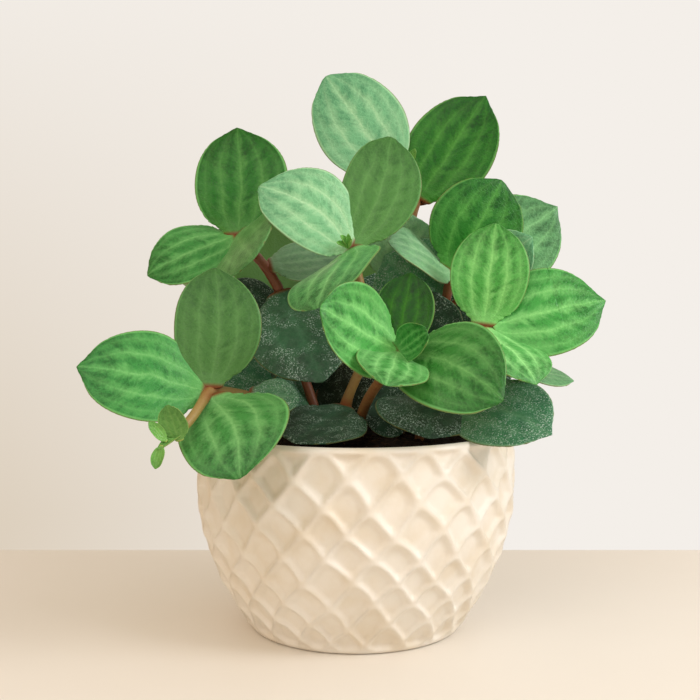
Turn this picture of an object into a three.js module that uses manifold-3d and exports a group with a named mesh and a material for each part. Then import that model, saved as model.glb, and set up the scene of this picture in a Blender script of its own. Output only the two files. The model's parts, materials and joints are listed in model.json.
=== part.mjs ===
// A potted peperomia: a round ceramic bowl with a raised net of scale-like cells, heaped potting
// soil, and leafy shoots whose round fleshy leaves are bent clear of each other.
// Millimetres, +Z up. The origin is the middle of the pot's foot, the front of the plant faces -Y.
import * as THREE from "three";
import { mergeVertices } from "three/addons/utils/BufferGeometryUtils.js";
import Module from "manifold-3d";

const wasm = await Module();
wasm.setup();

// ---------------------------------------------------------------- driving dimensions
const POT_HEIGHT = 76.2;
const POT_BELLY_RADIUS = 60;
const POT_BELLY_HEIGHT = 56;
const POT_FOOT_RADIUS = 39;
const POT_RIM_DRAW_IN = 0.6; // how much narrower the rim is than the belly
const POT_WALL = 3.6;
const POT_FLOOR = 5;
const POT_LIP_ROUNDING = 0.8;
const POT_FOOT_ROUNDING = 0.7;

const NET_CELLS = 22; // cells in one row round the pot
const NET_STEPS = 4; // wall facets across one cell
const NET_TOP_ROW = 8; // cell rows from the foot to the rim
const NET_FIRST_ROW = 4.5; // height of the middle of the lowest row
const NET_ROW_SPACING = 7.6;
const NET_ROW_GROWTH = 0.16; // the rows grow taller towards the rim
const NET_DEPTH = 0.9; // how far a cell is sunk below the net
const NET_EDGE = 0.95; // share of the way to its neighbours that a cell reaches
const NET_SLOPE = 0.4; // share of a cell taken by its sloping side
const NET_ARCH_ABOVE = 1.35; // roundness of a cell's outline above its middle; 1 is a plain lozenge
const NET_ARCH_BELOW = 1.1;
const NET_TURN = THREE.MathUtils.degToRad(-84.5); // where a cell of the odd rows is centred
const NET_FADE_TOP = [71, 75]; // the net sinks away into a plain band under the rim
const NET_FADE_FOOT = [1.2, 4];

const GAP = 0.3; // clearance kept between touching pieces
const SOIL_EDGE_HEIGHT = 66;
const SOIL_HEAP = 7.5; // rise of the soil from the pot's wall to the middle
const SOIL_LUMPS = 0.8; // height of the lumps on it
const SOIL_SIDES = 36;
const SOIL_RINGS = [0.85, 0.65, 0.45, 0.25]; // rings on top of the soil, as shares of its radius
const INSIDE_HEIGHTS = [POT_FLOOR, 12, 24, 40, SOIL_EDGE_HEIGHT]; // rings on the pot's inner wall
const STEM_DEPTH = 12; // how far a stem reaches below the soil's surface
const STEM_UPRIGHT = 3; // how far it rises above the soil before it leans over

const STEM_SIDES = 8;
const HOLE_EASE = 0.9; // how much wider than its stem a hole in the soil is, all round
const STEM_STEP = 8; // length of stem from ring to ring
const KNUCKLE_SWELLING = 0.5; // how much wider a stem is at a knuckle, all round
const KNUCKLE_REACH = 1.5; // length from a knuckle's middle to its edge
const STEM_CONE = 0.6; // height of the rounded end of a stem, in stem radii
const LEAF_THICKNESS = 1.5;
const LEAF_RIM_THICKNESS = 0.8;
const LEAF_RINGS = 9; // cross-sections along one blade
const SMALL_LEAF = 18; // length below which a leaf has fewer cross-sections
const SMALL_LEAF_RINGS = 5;
const PETIOLE_RADIUS = 1.1;
const SEAT_START = 7; // a leaf slides to its seat from this far off the stem's middle,
const SEAT_STEPS = 12; // each time by what it is still clear
const BUD_RADIUS = 1;
const BLADE_POINTEDNESS = 1.35; // 1 is a plain ellipse, more draws in both ends of the blade
const BLADE_TIP = 0.03; // share of the blade taken by its drawn-out point

const COLOURS = {
  pot: 0xe9dfcf,
  soil: 0x2b211a,
  stem: 0x7d4a26,
  fresh: 0x4f9a4c,
  pale: 0x86bf8a,
  shaded: 0x3c7034,
  old: 0x2c5446,
  grey: 0x6b8577,
};

// ---------------------------------------------------------------- shared geometry helpers
const point = (xyz) => new THREE.Vector3(...xyz);

// A closed body through a row of rings with equal point counts. The rings turn counter-clockwise
// seen from the last one, and each end is closed by a fan round the ring's own middle or a given tip.
function loft(rings, { startTip, endTip, slash = () => true } = {}) {
  const sides = rings[0].length;
  const middle = (ring) =>
    ring.reduce((sum, p) => sum.add(p), new THREE.Vector3()).divideScalar(sides);
  const points = [...rings.flat(), startTip ?? middle(rings[0]), endTip ?? middle(rings.at(-1))];
  const start = rings.length * sides;
  const end = start + 1;
  const index = [];
  for (let side = 0; side < sides; side++) {
    const next = (side + 1) % sides;
    index.push(start, next, side);
    for (let ring = 0; ring + 1 < rings.length; ring++) {
      const low = ring * sides;
      const high = low + sides;
      if (slash(ring, side)) {
        index.push(low + side, low + next, high + next, low + side, high + next, high + side);
      } else {
        index.push(low + side, low + next, high + side, low + next, high + next, high + side);
      }
    }
    const last = (rings.length - 1) * sides;
    index.push(end, last + side, last + next);
  }
  const geometry = new THREE.BufferGeometry().setFromPoints(points);
  geometry.setIndex(index);
  return geometry;
}

function solidOf(geometry) {
  const bare = new THREE.BufferGeometry().setAttribute("position", geometry.getAttribute("position"));
  bare.setIndex(geometry.getIndex());
  const merged = mergeVertices(bare, 1e-3);
  return new wasm.Manifold(
    new wasm.Mesh({
      numProp: 3,
      vertProperties: merged.getAttribute("position").array,
      triVerts: new Uint32Array(merged.getIndex().array),
    }),
  );
}

function geometryOf(solid) {
  const mesh = solid.getMesh();
  const geometry = new THREE.BufferGeometry();
  geometry.setAttribute("position", new THREE.BufferAttribute(mesh.vertProperties, 3));
  geometry.setIndex(new THREE.BufferAttribute(mesh.triVerts, 1));
  return geometry;
}

function meshOf(name, geometry, color, roughness) {
  const material = new THREE.MeshStandardMaterial({ color, roughness, metalness: 0 });
  geometry.computeVertexNormals();
  const mesh = new THREE.Mesh(geometry, material);
  mesh.name = name;
  return mesh;
}

// ---------------------------------------------------------------- pot
// Outer radius of the plain bowl: a parabola from foot to belly, then a slight draw-in to the rim.
function bowlRadius(height) {
  if (height < POT_BELLY_HEIGHT) {
    const below = 1 - height / POT_BELLY_HEIGHT;
    return POT_BELLY_RADIUS - (POT_BELLY_RADIUS - POT_FOOT_RADIUS) * below ** 2;
  }
  const above = (height - POT_BELLY_HEIGHT) / (POT_HEIGHT - POT_BELLY_HEIGHT);
  return POT_BELLY_RADIUS - POT_RIM_DRAW_IN * above ** 2;
}

// Height of a cell row's middle.
const rowHeight = (row) => NET_FIRST_ROW + NET_ROW_SPACING * row + NET_ROW_GROWTH * row ** 2;

// Depth of the net at a place given in cells round the pot and rows up it. Each cell is a rounded
// lozenge, one cell wide and two rows tall, with a fuller arch at its top.
function netDepth(column, row, height) {
  let deepest = 0;
  for (const near of [Math.floor(row), Math.floor(row) + 1]) {
    const shift = near % 2 === 0 ? 0.5 : 0;
    const across = Math.abs(column - shift - Math.round(column - shift)) * 2;
    const up = Math.abs(row - near);
    const power = row > near ? NET_ARCH_ABOVE : NET_ARCH_BELOW;
    const edge = (across ** power + up ** power) ** (1 / power);
    const inwards = 1 - edge / NET_EDGE;
    deepest = Math.max(deepest, THREE.MathUtils.smoothstep(inwards, 0, NET_SLOPE));
  }
  const fade =
    THREE.MathUtils.smoothstep(height, ...NET_FADE_FOOT) *
    (1 - THREE.MathUtils.smoothstep(height, ...NET_FADE_TOP));
  return NET_DEPTH * deepest * fade;
}

// The pot's profile from its foot up the outside, over the lip and down the inside.
function makePot() {
  const sides = NET_CELLS * NET_STEPS;
  const ring = (radiusAt, height) =>
    Array.from({ length: sides }, (_, side) => {
      const angle = NET_TURN + (side / sides) * 2 * Math.PI;
      const radius = radiusAt(side / NET_STEPS);
      return new THREE.Vector3(radius * Math.cos(angle), radius * Math.sin(angle), height);
    });
  const plain = (radius, height) => ring(() => radius, height);
  const rings = [plain(POT_FOOT_RADIUS - POT_FOOT_ROUNDING, 0)];
  for (let row = -0.5; row <= NET_TOP_ROW; row += 0.5) {
    const height = rowHeight(row);
    rings.push(ring((column) => bowlRadius(height) - netDepth(column, row, height), height));
  }
  const lip = bowlRadius(POT_HEIGHT) - POT_LIP_ROUNDING;
  rings.push(plain(lip, POT_HEIGHT));
  rings.push(plain(bowlRadius(POT_HEIGHT) - POT_WALL, POT_HEIGHT - POT_LIP_ROUNDING));
  for (const height of INSIDE_HEIGHTS.toReversed()) {
    rings.push(plain(bowlRadius(height) - POT_WALL, height));
  }
  // Each facet is split along the ridge that crosses it.
  const slash = (index, side) => (side - (index - 1) + 1) % 2 !== 0;
  return meshOf("pot", loft(rings, { slash }), COLOURS.pot, 0.55);
}

// ---------------------------------------------------------------- shoots
// Each shoot's stem runs through hand-placed points from the soil to its growing tip.
// scars are the places along it, from 0 to 1, where older leaves have dropped off.
const SHOOTS = {
  left_low: {
    path: [[-19, -10], [-33, -25, 87], [-49, -48, 94], [-54, -64, 86], [-60, -70, 81]],
    radius: 1.8,
    scars: [0.33],
  },
  left_high: {
    path: [[-14, 3], [-21, 5, 98], [-31, 6, 131], [-45, 5, 148]],
    radius: 1.8,
    scars: [0.45, 0.88],
  },
  centre: {
    path: [[-5, -4], [-3, -13, 88], [4, -18, 108], [-1, -20, 143]],
    radius: 1.8,
    scars: [0.5, 0.8],
  },
  front: {
    path: [[1, -11], [4, -22, 88], [10, -37, 99], [14, -46, 107]],
    radius: 1.9,
  },
  top: {
    path: [[9, 18], [14, 20, 104], [22, 22, 152], [24, 22, 164], [21, 12, 175]],
    radius: 1.5,
  },
  right_high: {
    path: [[18, 6], [25, 5, 96], [33, 3, 118], [36, 0, 134]],
    radius: 1.7,
  },
  right: {
    path: [[24, -6], [32, -13, 90], [40, -23, 106], [45, -30, 115]],
    radius: 1.7,
  },
  back_left: {
    path: [[-15, 20], [-24, 30, 92], [-34, 40, 116]],
    radius: 1.7,
  },
  back: {
    path: [[2, 30], [2, 42, 94], [1, 52, 124]],
    radius: 1.7,
  },
  back_right: {
    path: [[22, 22], [33, 32, 92], [44, 40, 112]],
    radius: 1.7,
  },
};

// The soil is heaped in the middle and uneven, so its height is a formula of the place.
function soilHeight(x, y) {
  const out = Math.min(1, Math.hypot(x, y) / (bowlRadius(SOIL_EDGE_HEIGHT) - POT_WALL));
  const lumps = Math.sin(x / 6 + 1) * Math.sin(y / 7 + 2) + 0.5 * Math.sin(x / 3.1) * Math.cos(y / 3.7);
  return SOIL_EDGE_HEIGHT + SOIL_HEAP * (1 - out ** 2) + SOIL_LUMPS * (1 - out) * lumps;
}

function stemCurve({ path: [[x, y], ...rest] }) {
  const surface = soilHeight(x, y);
  return new THREE.CatmullRomCurve3(
    [[x, y, surface - STEM_DEPTH], [x, y, surface + STEM_UPRIGHT], ...rest].map(point),
  );
}

const bell = (x) => Math.exp(-(x ** 2));
const stemTaper = (place) => 1.1 - 0.25 * place; // share of the stem's radius at a place along it

// A round stem along its curve, a little thicker at each knuckle and at its tip.
function stemGeometry(curve, { radius }, knuckles) {
  const length = curve.getLength();
  const reach = KNUCKLE_REACH / length;
  const steps = Math.max(9, Math.round(length / STEM_STEP));
  const places = [...Array(steps + 1).keys()].map((step) => step / steps);
  places.push(...knuckles.flatMap((knuckle) => [knuckle - reach, knuckle, knuckle + reach]));
  places.sort((a, b) => a - b);
  const spaced = places.filter((place, i) => i === 0 || place - places[i - 1] > reach / 2);
  const frames = new StemFrames(curve);
  const rings = spaced.map((place) => {
    const swellings = knuckles.map((knuckle) => bell((place - knuckle) / reach));
    const swelling = KNUCKLE_SWELLING * Math.max(0, ...swellings);
    return frames.ring(place, radius * stemTaper(place) + swelling, STEM_SIDES);
  });
  const end = curve.getTangentAt(1).multiplyScalar(radius * STEM_CONE).add(curve.getPointAt(1));
  return loft(rings, { endTip: end });
}

// Rings square to a curve, kept from twisting by one fixed reference direction.
class StemFrames {
  constructor(curve) {
    this.curve = curve;
    this.reference = new THREE.Vector3(1, 0.3, 0.1).normalize();
  }

  ring(place, radius, sides) {
    const centre = this.curve.getPointAt(place);
    const along = this.curve.getTangentAt(place);
    const first = this.reference.clone().addScaledVector(along, -this.reference.dot(along)).normalize();
    const second = new THREE.Vector3().crossVectors(along, first);
    return Array.from({ length: sides }, (_, side) => {
      const angle = (side / sides) * 2 * Math.PI;
      return centre
        .clone()
        .addScaledVector(first, radius * Math.cos(angle))
        .addScaledVector(second, radius * Math.sin(angle));
    });
  }
}

// ---------------------------------------------------------------- leaves
// The leaves of each shoot: the place along the shoot, the point of the leaf's tip, the direction
// that its upper side faces, the blade's width and tone. petiole is the stalk's length. arch lifts
// the middle of the blade towards its upper side, cup lifts its two edges, and sway bows it
// sideways, all in millimetres.
const LEAVES = {
  left_low: [
    { at: 0.72, tip: [-92, -57, 103], face: [0.1, -0.9, 0.45], width: 32, arch: 2, sway: -1 },
    { at: 0.72, tip: [-49, -36, 136], face: [0.1, -1, 0.3], width: 31, arch: 2, sway: -2, tone: "shaded" },
    { at: 0.72, tip: [-37, -75, 69], face: [-0.25, -0.55, 0.8], width: 38, arch: 3, sway: 4 },
    { at: 0.52, tip: [-20, -32, 90], face: [0, -0.5, 0.85], width: 22, tone: "old" },
  ],
  left_high: [
    { at: 1, tip: [-46, 16, 190], face: [-0.1, -1, 0.25], width: 36, arch: 2, sway: -2 },
    { at: 1, tip: [-78, -3, 133], face: [-0.2, -0.7, 0.65], width: 31, arch: 2 },
    { at: 1, tip: [-36, -27, 139], face: [-0.7, -0.38, 0.6], width: 31, arch: 2, tone: "grey" },
    { at: 0.74, tip: [-12, -25, 95], face: [0, -0.85, 0.5], width: 40, arch: 3, tone: "old" },
    { at: 0.84, tip: [-5, 12, 140], face: [0, -0.6, 0.8], width: 26, tone: "grey" },
    { at: 0.6, tip: [-52, 4, 128], face: [0, -0.7, 0.7], width: 24, tone: "old" },
  ],
  centre: [
    { at: 1, tip: [-35, -19, 165], face: [0.25, -0.9, 0.1], width: 29, arch: 2, sway: -4, tone: "pale" },
    { at: 1, tip: [13, -10, 184], face: [-0.1, -1, 0.2], width: 29, petiole: 2, arch: 2, sway: -3, tone: "shaded" },
    { at: 1, tip: [-13, -48, 122], face: [-0.57, -0.31, 0.76], width: 40, arch: 2 },
    { at: 0.3, tip: [-21, -46, 76], face: [0, -0.4, 0.9], width: 33, tone: "old" },
  ],
  top: [
    { at: 0.85, tip: [-12, 27, 212], face: [0.1, -1, -0.1], width: 36, petiole: 12, tone: "pale" },
    { at: 0.85, tip: [51, 24, 203], face: [-0.1, -1, 0.2], width: 35, tone: "shaded" },
    { at: 0.85, tip: [34, 60, 172], face: [0, 0.1, 1], width: 34, arch: 3 },
    { at: 0.5, tip: [20, 9, 157], face: [0, -1, 0.3], width: 29, petiole: 6, tone: "grey" },
  ],
  right_high: [
    { at: 1, tip: [55, 2, 169], face: [0.1, -1, 0.1], width: 36, arch: 2, tone: "shaded" },
    { at: 1, tip: [12, -12, 145], face: [-0.3, -0.55, 0.8], width: 34, arch: 2, tone: "grey" },
    { at: 0.92, tip: [77, 10, 159], face: [0.1, -1, 0.3], width: 36, petiole: 9 },
    { at: 0.8, tip: [64, -15, 147], face: [0, -0.9, 0.4], width: 24, petiole: 10, tone: "pale" },
    { at: 0.5, tip: [29, -13, 127], face: [0, -0.9, 0.4], width: 25, petiole: 6, tone: "old" },
  ],
  right: [
    { at: 1, tip: [50, -22, 152], face: [-0.15, -1, 0.2], width: 29, arch: 2 },
    { at: 1, tip: [88, -26, 124], face: [-0.1, -0.9, 0.45], width: 34, petiole: 5, arch: 2 },
    { at: 1, tip: [60, -52, 97], face: [0.3, -0.5, 0.8], width: 28, petiole: 4, arch: 2 },
    { at: 0.8, tip: [79, -19, 95], face: [0.15, -0.3, 0.95], width: 22, petiole: 12, tone: "grey" },
    { at: 0.5, tip: [65, -52, 80], face: [-0.2, -0.65, 0.7], width: 33, arch: 3, petiole: 8, tone: "old" },
    { at: 0.33, tip: [3, -5, 89], face: [0, -0.85, 0.5], width: 28, tone: "old" },
  ],
  front: [
    { at: 1, tip: [-12, -66, 123], face: [0.45, -0.8, 0.4], width: 33, cup: 3, arch: -1 },
    { at: 1, tip: [19, -36, 134], face: [-0.1, -0.9, 0.4], width: 21, cup: 2, tone: "shaded" },
    { at: 1, tip: [9, -78, 99], face: [0.27, -0.25, 0.93], width: 25, cup: 2 },
    { at: 1, tip: [47, -68, 93], face: [-0.1, -0.8, 0.5], width: 35, arch: 4, sway: 3 },
    { at: 1, tip: [25, -57, 115], face: [0, -0.7, 0.7], width: 9, cup: 2, petiole: 2 },
  ],
  back_left: [
    { at: 1, tip: [-72, 42, 130], face: [-0.2, 0.3, 0.9], width: 34, arch: 3 },
    { at: 1, tip: [-28, 80, 112], face: [-0.1, 0.5, 0.85], width: 34, arch: 3 },
    { at: 1, tip: [-34, 44, 157], face: [-0.2, 0.9, 0.1], width: 33, arch: 2, tone: "shaded" },
  ],
  back: [
    { at: 1, tip: [-34, 72, 136], face: [-0.1, 0.5, 0.85], width: 33, arch: 3 },
    { at: 1, tip: [20, 88, 132], face: [0.1, 0.6, 0.8], width: 34, arch: 3 },
    { at: 1, tip: [4, 50, 165], face: [0, 1, 0.1], width: 34, arch: 2, tone: "shaded" },
    { at: 0.5, tip: [-16, 76, 84], face: [-0.1, 0.7, 0.7], width: 34, arch: 3, tone: "old" },
  ],
  back_right: [
    { at: 1, tip: [82, 42, 124], face: [0.3, 0.3, 0.9], width: 34, arch: 3 },
    { at: 1, tip: [42, 80, 104], face: [0.1, 0.6, 0.8], width: 34, arch: 3 },
    { at: 1, tip: [46, 36, 153], face: [0.4, 0.9, 0.1], width: 32, arch: 2, tone: "shaded" },
    { at: 0.5, tip: [66, 56, 82], face: [0.4, 0.5, 0.7], width: 32, arch: 3, tone: "old" },
  ],
};

// One cross-section of a leaf: eight points, flat-sided at the rim and thickest near the midrib.
function leafSection(x, halfWidth, { thick, rim, lift, shift, cup }) {
  const outline = [
    [1, -rim], [1, rim], [0.5, thick], [-0.5, thick],
    [-1, rim], [-1, -rim], [-0.5, -thick], [0.5, -thick],
  ];
  return outline.map(
    ([side, height]) =>
      new THREE.Vector3(x, side * halfWidth + shift, height / 2 + lift + cup * side ** 2),
  );
}

// A leaf along +X with its upper side up: a round petiole that widens into an elliptic blade.
function leafGeometry(length, { width, petiole = 3, arch = 0, cup = 0, sway = 0 }) {
  const isSmall = length < SMALL_LEAF;
  const steps = isSmall ? SMALL_LEAF_RINGS : LEAF_RINGS;
  const stalkParts = isSmall ? [0, 1] : [0, 0.55, 1];
  const blade = length - petiole;
  const bow = (x) => Math.sin((Math.PI * Math.max(0, x - petiole)) / blade);
  const stalk = { thick: 2 * PETIOLE_RADIUS, rim: 0.8 * PETIOLE_RADIUS, lift: 0, shift: 0, cup: 0 };
  const rings = stalkParts.map((part) => leafSection(part * petiole, PETIOLE_RADIUS, stalk));
  for (let step = 1; step < steps; step++) {
    const turn = (step / steps) * Math.PI;
    const fullness = Math.sin(turn) ** BLADE_POINTEDNESS;
    const x = petiole + (blade * (1 - BLADE_TIP) * (1 - Math.cos(turn))) / 2;
    rings.push(
      leafSection(x, (width / 2) * fullness, {
        thick: LEAF_THICKNESS,
        rim: LEAF_RIM_THICKNESS,
        lift: arch * bow(x),
        shift: sway * bow(x),
        cup: cup * fullness,
      }),
    );
  }
  return loft(rings, { endTip: new THREE.Vector3(length, 0, 0) });
}

// A leaf that has slid down its own line, from well out, until its foot is one gap clear of what
// the shoot holds already: the stem and the leaves before it.
function seatedLeaf(name, leaf, curve, shootSolid) {
  const joint = curve.getPointAt(leaf.at);
  let stand = SEAT_START;
  for (let step = 0; step < SEAT_STEPS; step++) {
    const clearance = placedSolid(bladeMesh(name, leaf, joint, stand)).minGap(shootSolid, SEAT_START);
    stand -= clearance - GAP;
  }
  return bladeMesh(name, leaf, joint, stand);
}

function placedSolid(mesh) {
  mesh.updateMatrix();
  return solidOf(mesh.geometry.clone().applyMatrix4(mesh.matrix));
}

// A leaf turned from its joint towards its tip, starting the given distance out.
function bladeMesh(name, leaf, joint, stand) {
  const along = point(leaf.tip).sub(joint);
  const length = along.length() - stand;
  along.normalize();
  const face = point(leaf.face);
  face.addScaledVector(along, -face.dot(along)).normalize();
  const across = new THREE.Vector3().crossVectors(face, along);
  const mesh = meshOf(name, leafGeometry(length, leaf), COLOURS[leaf.tone ?? "fresh"], 0.4);
  mesh.quaternion.setFromRotationMatrix(new THREE.Matrix4().makeBasis(along, across, face));
  mesh.position.copy(joint).addScaledVector(along, stand);
  return mesh;
}

// ---------------------------------------------------------------- growing tips
// A cluster of unfolding leaves round a bud, fused into one body just past the end of a stem.
const TIPS = {
  left_low: {
    bud: [-61.8, -71.8, 79.7],
    leaves: [
      { tip: [-60, -75, 92], face: [-0.8, -0.5, 0.2], width: 8 },
      { tip: [-69, -72, 86], face: [0, -0.6, 0.8], width: 6 },
      { tip: [-66, -72, 70], face: [-0.5, -0.8, 0.2], width: 6 },
    ],
  },
  centre: {
    bud: [-2.4, -22.4, 144.6],
    leaves: [
      { tip: [-8, -28, 148], face: [0.3, -0.6, 0.7], width: 3.5 },
      { tip: [-5, -29, 146], face: [0.6, -0.6, 0.5], width: 3 },
    ],
  },
  top: {
    bud: [20.8, 10.3, 177.2],
    leaves: [
      { tip: [23, 8, 183], face: [-0.4, -0.9, 0.2], width: 4 },
      { tip: [18, 8, 180], face: [0.2, -0.9, 0.4], width: 3.5 },
    ],
  },
};

function makeTip(name, { bud, leaves }) {
  const ball = new THREE.IcosahedronGeometry(BUD_RADIUS, 1).translate(...bud);
  const blades = leaves.map((leaf) => placedSolid(bladeMesh(name, leaf, point(bud), 0)));
  const cluster = blades.reduce((sum, blade) => sum.add(blade), solidOf(ball));
  return meshOf(`tip_leaves_${name}`, geometryOf(cluster), COLOURS.pale, 0.4);
}

// ---------------------------------------------------------------- plant and soil
function makePlant() {
  const plant = new THREE.Group();
  for (const [name, shoot] of Object.entries(SHOOTS)) {
    const curve = stemCurve(shoot);
    const joints = LEAVES[name].map(({ at }) => at).filter((at) => at < 1);
    const knuckles = [...new Set([...joints, ...(shoot.scars ?? [])])];
    const stem = meshOf(`stem_${name}`, stemGeometry(curve, shoot, knuckles), COLOURS.stem, 0.5);
    plant.add(stem);
    let shootSolid = placedSolid(stem);
    LEAVES[name].forEach((leaf, i) => {
      const mesh = seatedLeaf(`leaf_${name}_${i + 1}`, leaf, curve, shootSolid);
      plant.add(mesh);
      shootSolid = shootSolid.add(placedSolid(mesh));
    });
  }
  for (const [name, tip] of Object.entries(TIPS)) {
    plant.add(makeTip(name, tip));
  }
  return plant;
}

function makeSoil() {
  const ring = (radius, height) =>
    Array.from({ length: SOIL_SIDES }, (_, side) => {
      const angle = NET_TURN + (side / SOIL_SIDES) * 2 * Math.PI;
      const x = radius * Math.cos(angle);
      const y = radius * Math.sin(angle);
      return new THREE.Vector3(x, y, height ?? soilHeight(x, y));
    });
  const inside = (height) => bowlRadius(height) - POT_WALL - 1.5 * GAP;
  const rings = [ring(inside(POT_FLOOR), POT_FLOOR + GAP)];
  for (const height of INSIDE_HEIGHTS.slice(1)) {
    rings.push(ring(inside(height), height));
  }
  for (const part of SOIL_RINGS) {
    rings.push(ring(part * inside(SOIL_EDGE_HEIGHT)));
  }
  let soil = solidOf(loft(rings, { endTip: new THREE.Vector3(0, 0, soilHeight(0, 0)) }));
  for (const shoot of Object.values(SHOOTS)) {
    soil = soil.subtract(solidOf(stemHole(shoot)));
  }
  return meshOf("soil", geometryOf(soil), COLOURS.soil, 0.95);
}

// A plain round hole for a stem, from below its foot to above the soil.
function stemHole({ path: [[x, y]], radius }) {
  const bottom = soilHeight(x, y) - STEM_DEPTH - GAP;
  const holeRadius = radius * stemTaper(0) + HOLE_EASE;
  const height = 2 * STEM_DEPTH;
  const hole = new THREE.CylinderGeometry(holeRadius, holeRadius, height, 12);
  hole.rotateX(Math.PI / 2);
  hole.translate(x, y, bottom + height / 2);
  return hole;
}

const group = new THREE.Group();
group.add(makePot(), makeSoil(), makePlant());

export default group;
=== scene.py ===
"""A potted peperomia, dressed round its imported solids.

A round cream bowl with a raised net of scale-like cells holds dark potting soil, and leafy shoots
with round, fleshy, five-veined leaves grow from it. Metres, +Z up. The origin is the middle of the
pot's foot, and the front of the plant faces -Y. What is worked out in millimetres is turned into
metres by MM.
"""

from __future__ import annotations

import json
import logging
import math
import random
from dataclasses import dataclass
from enum import Enum
from typing import ClassVar

import bpy
import numpy as np
from mathutils import Matrix, Vector, noise
from mathutils.bvhtree import BVHTree

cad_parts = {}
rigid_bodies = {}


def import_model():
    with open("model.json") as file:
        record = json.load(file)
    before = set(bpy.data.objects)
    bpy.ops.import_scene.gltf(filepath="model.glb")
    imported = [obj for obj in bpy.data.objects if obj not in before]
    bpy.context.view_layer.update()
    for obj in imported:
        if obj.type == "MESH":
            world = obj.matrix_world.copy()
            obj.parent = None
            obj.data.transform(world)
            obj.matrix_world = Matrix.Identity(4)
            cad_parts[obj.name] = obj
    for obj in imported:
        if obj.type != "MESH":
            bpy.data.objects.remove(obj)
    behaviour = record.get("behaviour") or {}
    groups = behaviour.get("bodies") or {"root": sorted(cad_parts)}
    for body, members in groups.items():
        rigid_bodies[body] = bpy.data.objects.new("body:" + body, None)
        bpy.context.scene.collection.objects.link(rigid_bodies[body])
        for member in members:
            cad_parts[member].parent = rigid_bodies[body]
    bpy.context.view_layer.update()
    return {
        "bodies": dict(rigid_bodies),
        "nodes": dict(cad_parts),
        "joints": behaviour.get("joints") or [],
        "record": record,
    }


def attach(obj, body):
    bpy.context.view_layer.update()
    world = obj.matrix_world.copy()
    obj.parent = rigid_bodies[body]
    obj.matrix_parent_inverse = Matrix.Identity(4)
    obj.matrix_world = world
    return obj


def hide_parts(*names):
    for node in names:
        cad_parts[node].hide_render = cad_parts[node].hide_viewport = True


MM = 0.001
FULL_TURN = 2 * math.pi
LOG = logging.getLogger("potted_peperomia")

Place = tuple[float, float, float]
Socket = bpy.types.NodeSocket
# What a node's input takes: a number, a hex colour, three numbers, or a link from a socket.
Value = float | str | Place | Socket
Inputs = dict[int | str, Value] | tuple[Value, ...]


# ---------------------------------------------------------------- small helpers
def linear(hex_colour: str) -> tuple[float, float, float, float]:
    """Turn an sRGB hex colour into linear light.

    Args:
        hex_colour: the colour as "#rrggbb".

    Returns:
        Red, green, blue and alpha, from 0 to 1.
    """
    levels = [int(hex_colour[i : i + 2], 16) / 255 for i in (1, 3, 5)]
    light = [v / 12.92 if v <= 0.04045 else ((v + 0.055) / 1.055) ** 2.4 for v in levels]
    return (*light, 1.0)


def set_inputs(node: bpy.types.Node, inputs: Inputs) -> None:
    """Give a node's inputs their values and links.

    Args:
        node: the node.
        inputs: their values in order, or by the input's name or number.
    """
    for place, value in inputs.items() if isinstance(inputs, dict) else enumerate(inputs):
        if isinstance(value, Socket):
            node.id_data.links.new(value, node.inputs[place])
        else:
            node.inputs[place].default_value = linear(value) if isinstance(value, str) else value


def add_node(
    tree: bpy.types.NodeTree, kind: str, inputs: Inputs = (), output: int | str = 0, **settings: str | bool
) -> Socket:
    """Add a node with its settings, values and links.

    Args:
        tree: the tree that gets the node.
        kind: the node's type name after the word ShaderNode, or a Math node's operation in capitals.
        inputs: values for its inputs, as in set_inputs.
        output: the name or number of the output that is wanted.
        **settings: the node's own properties.

    Returns:
        That output's socket.
    """
    if kind.isupper():
        kind, settings = "Math", settings | {"operation": kind}
    node = tree.nodes.new(f"ShaderNode{kind}")
    for name, value in settings.items():
        setattr(node, name, value)
    set_inputs(node, inputs)
    return node.outputs[output]


def select_only(obj: bpy.types.Object) -> None:
    """Make an object the only selected one, and the active one.

    Args:
        obj: the object.
    """
    for other in bpy.context.selected_objects:
        other.select_set(False)
    obj.select_set(True)
    bpy.context.view_layer.objects.active = obj


def edit_selected(obj: bpy.types.Object, edges: np.ndarray | None, *steps: tuple[str, dict]) -> None:
    """Run mesh operators on chosen edges of an object, or on all of it.

    Args:
        obj: the object to edit.
        edges: True for each edge to select, or None to select everything.
        *steps: the name of each bpy.ops.mesh operator and its settings.
    """
    select_only(obj)
    bpy.context.tool_settings.mesh_select_mode = (False, True, False)
    bpy.ops.object.mode_set(mode="EDIT")
    bpy.ops.mesh.select_all(action="SELECT" if edges is None else "DESELECT")
    if edges is not None:
        bpy.ops.object.mode_set(mode="OBJECT")
        obj.data.edges.foreach_set("select", edges)
        bpy.ops.object.mode_set(mode="EDIT")
    for name, settings in steps:
        getattr(bpy.ops.mesh, name)(**settings)
    bpy.ops.object.mode_set(mode="OBJECT")


def smooth_surface(obj: bpy.types.Object, levels: int = 3) -> None:
    """Subdivide and round off an object with an applied Subdivision Surface.

    Args:
        obj: the object.
        levels: how often each face is divided.
    """
    select_only(obj)
    bpy.ops.object.modifier_add(type="SUBSURF")
    modifier = obj.modifiers[-1]
    modifier.levels = modifier.render_levels = levels
    bpy.ops.object.modifier_apply(modifier=modifier.name)


def read_rows(items: bpy.types.bpy_prop_collection, name: str, width: int = 3) -> np.ndarray:
    """Read one property of all points, edges or attribute values of a mesh.

    Args:
        items: the collection.
        name: the property.
        width: how many numbers it has.

    Returns:
        One row of numbers for each item.
    """
    flat = np.empty(len(items) * width, np.int32 if name == "vertices" else np.float32)
    items.foreach_get(name, flat)
    return flat.reshape(-1, width)


def read_points(mesh: bpy.types.Mesh) -> np.ndarray:
    """Return a mesh's points in millimetres, one row each."""
    return read_rows(mesh.vertices, "co").astype(float) / MM


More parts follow.
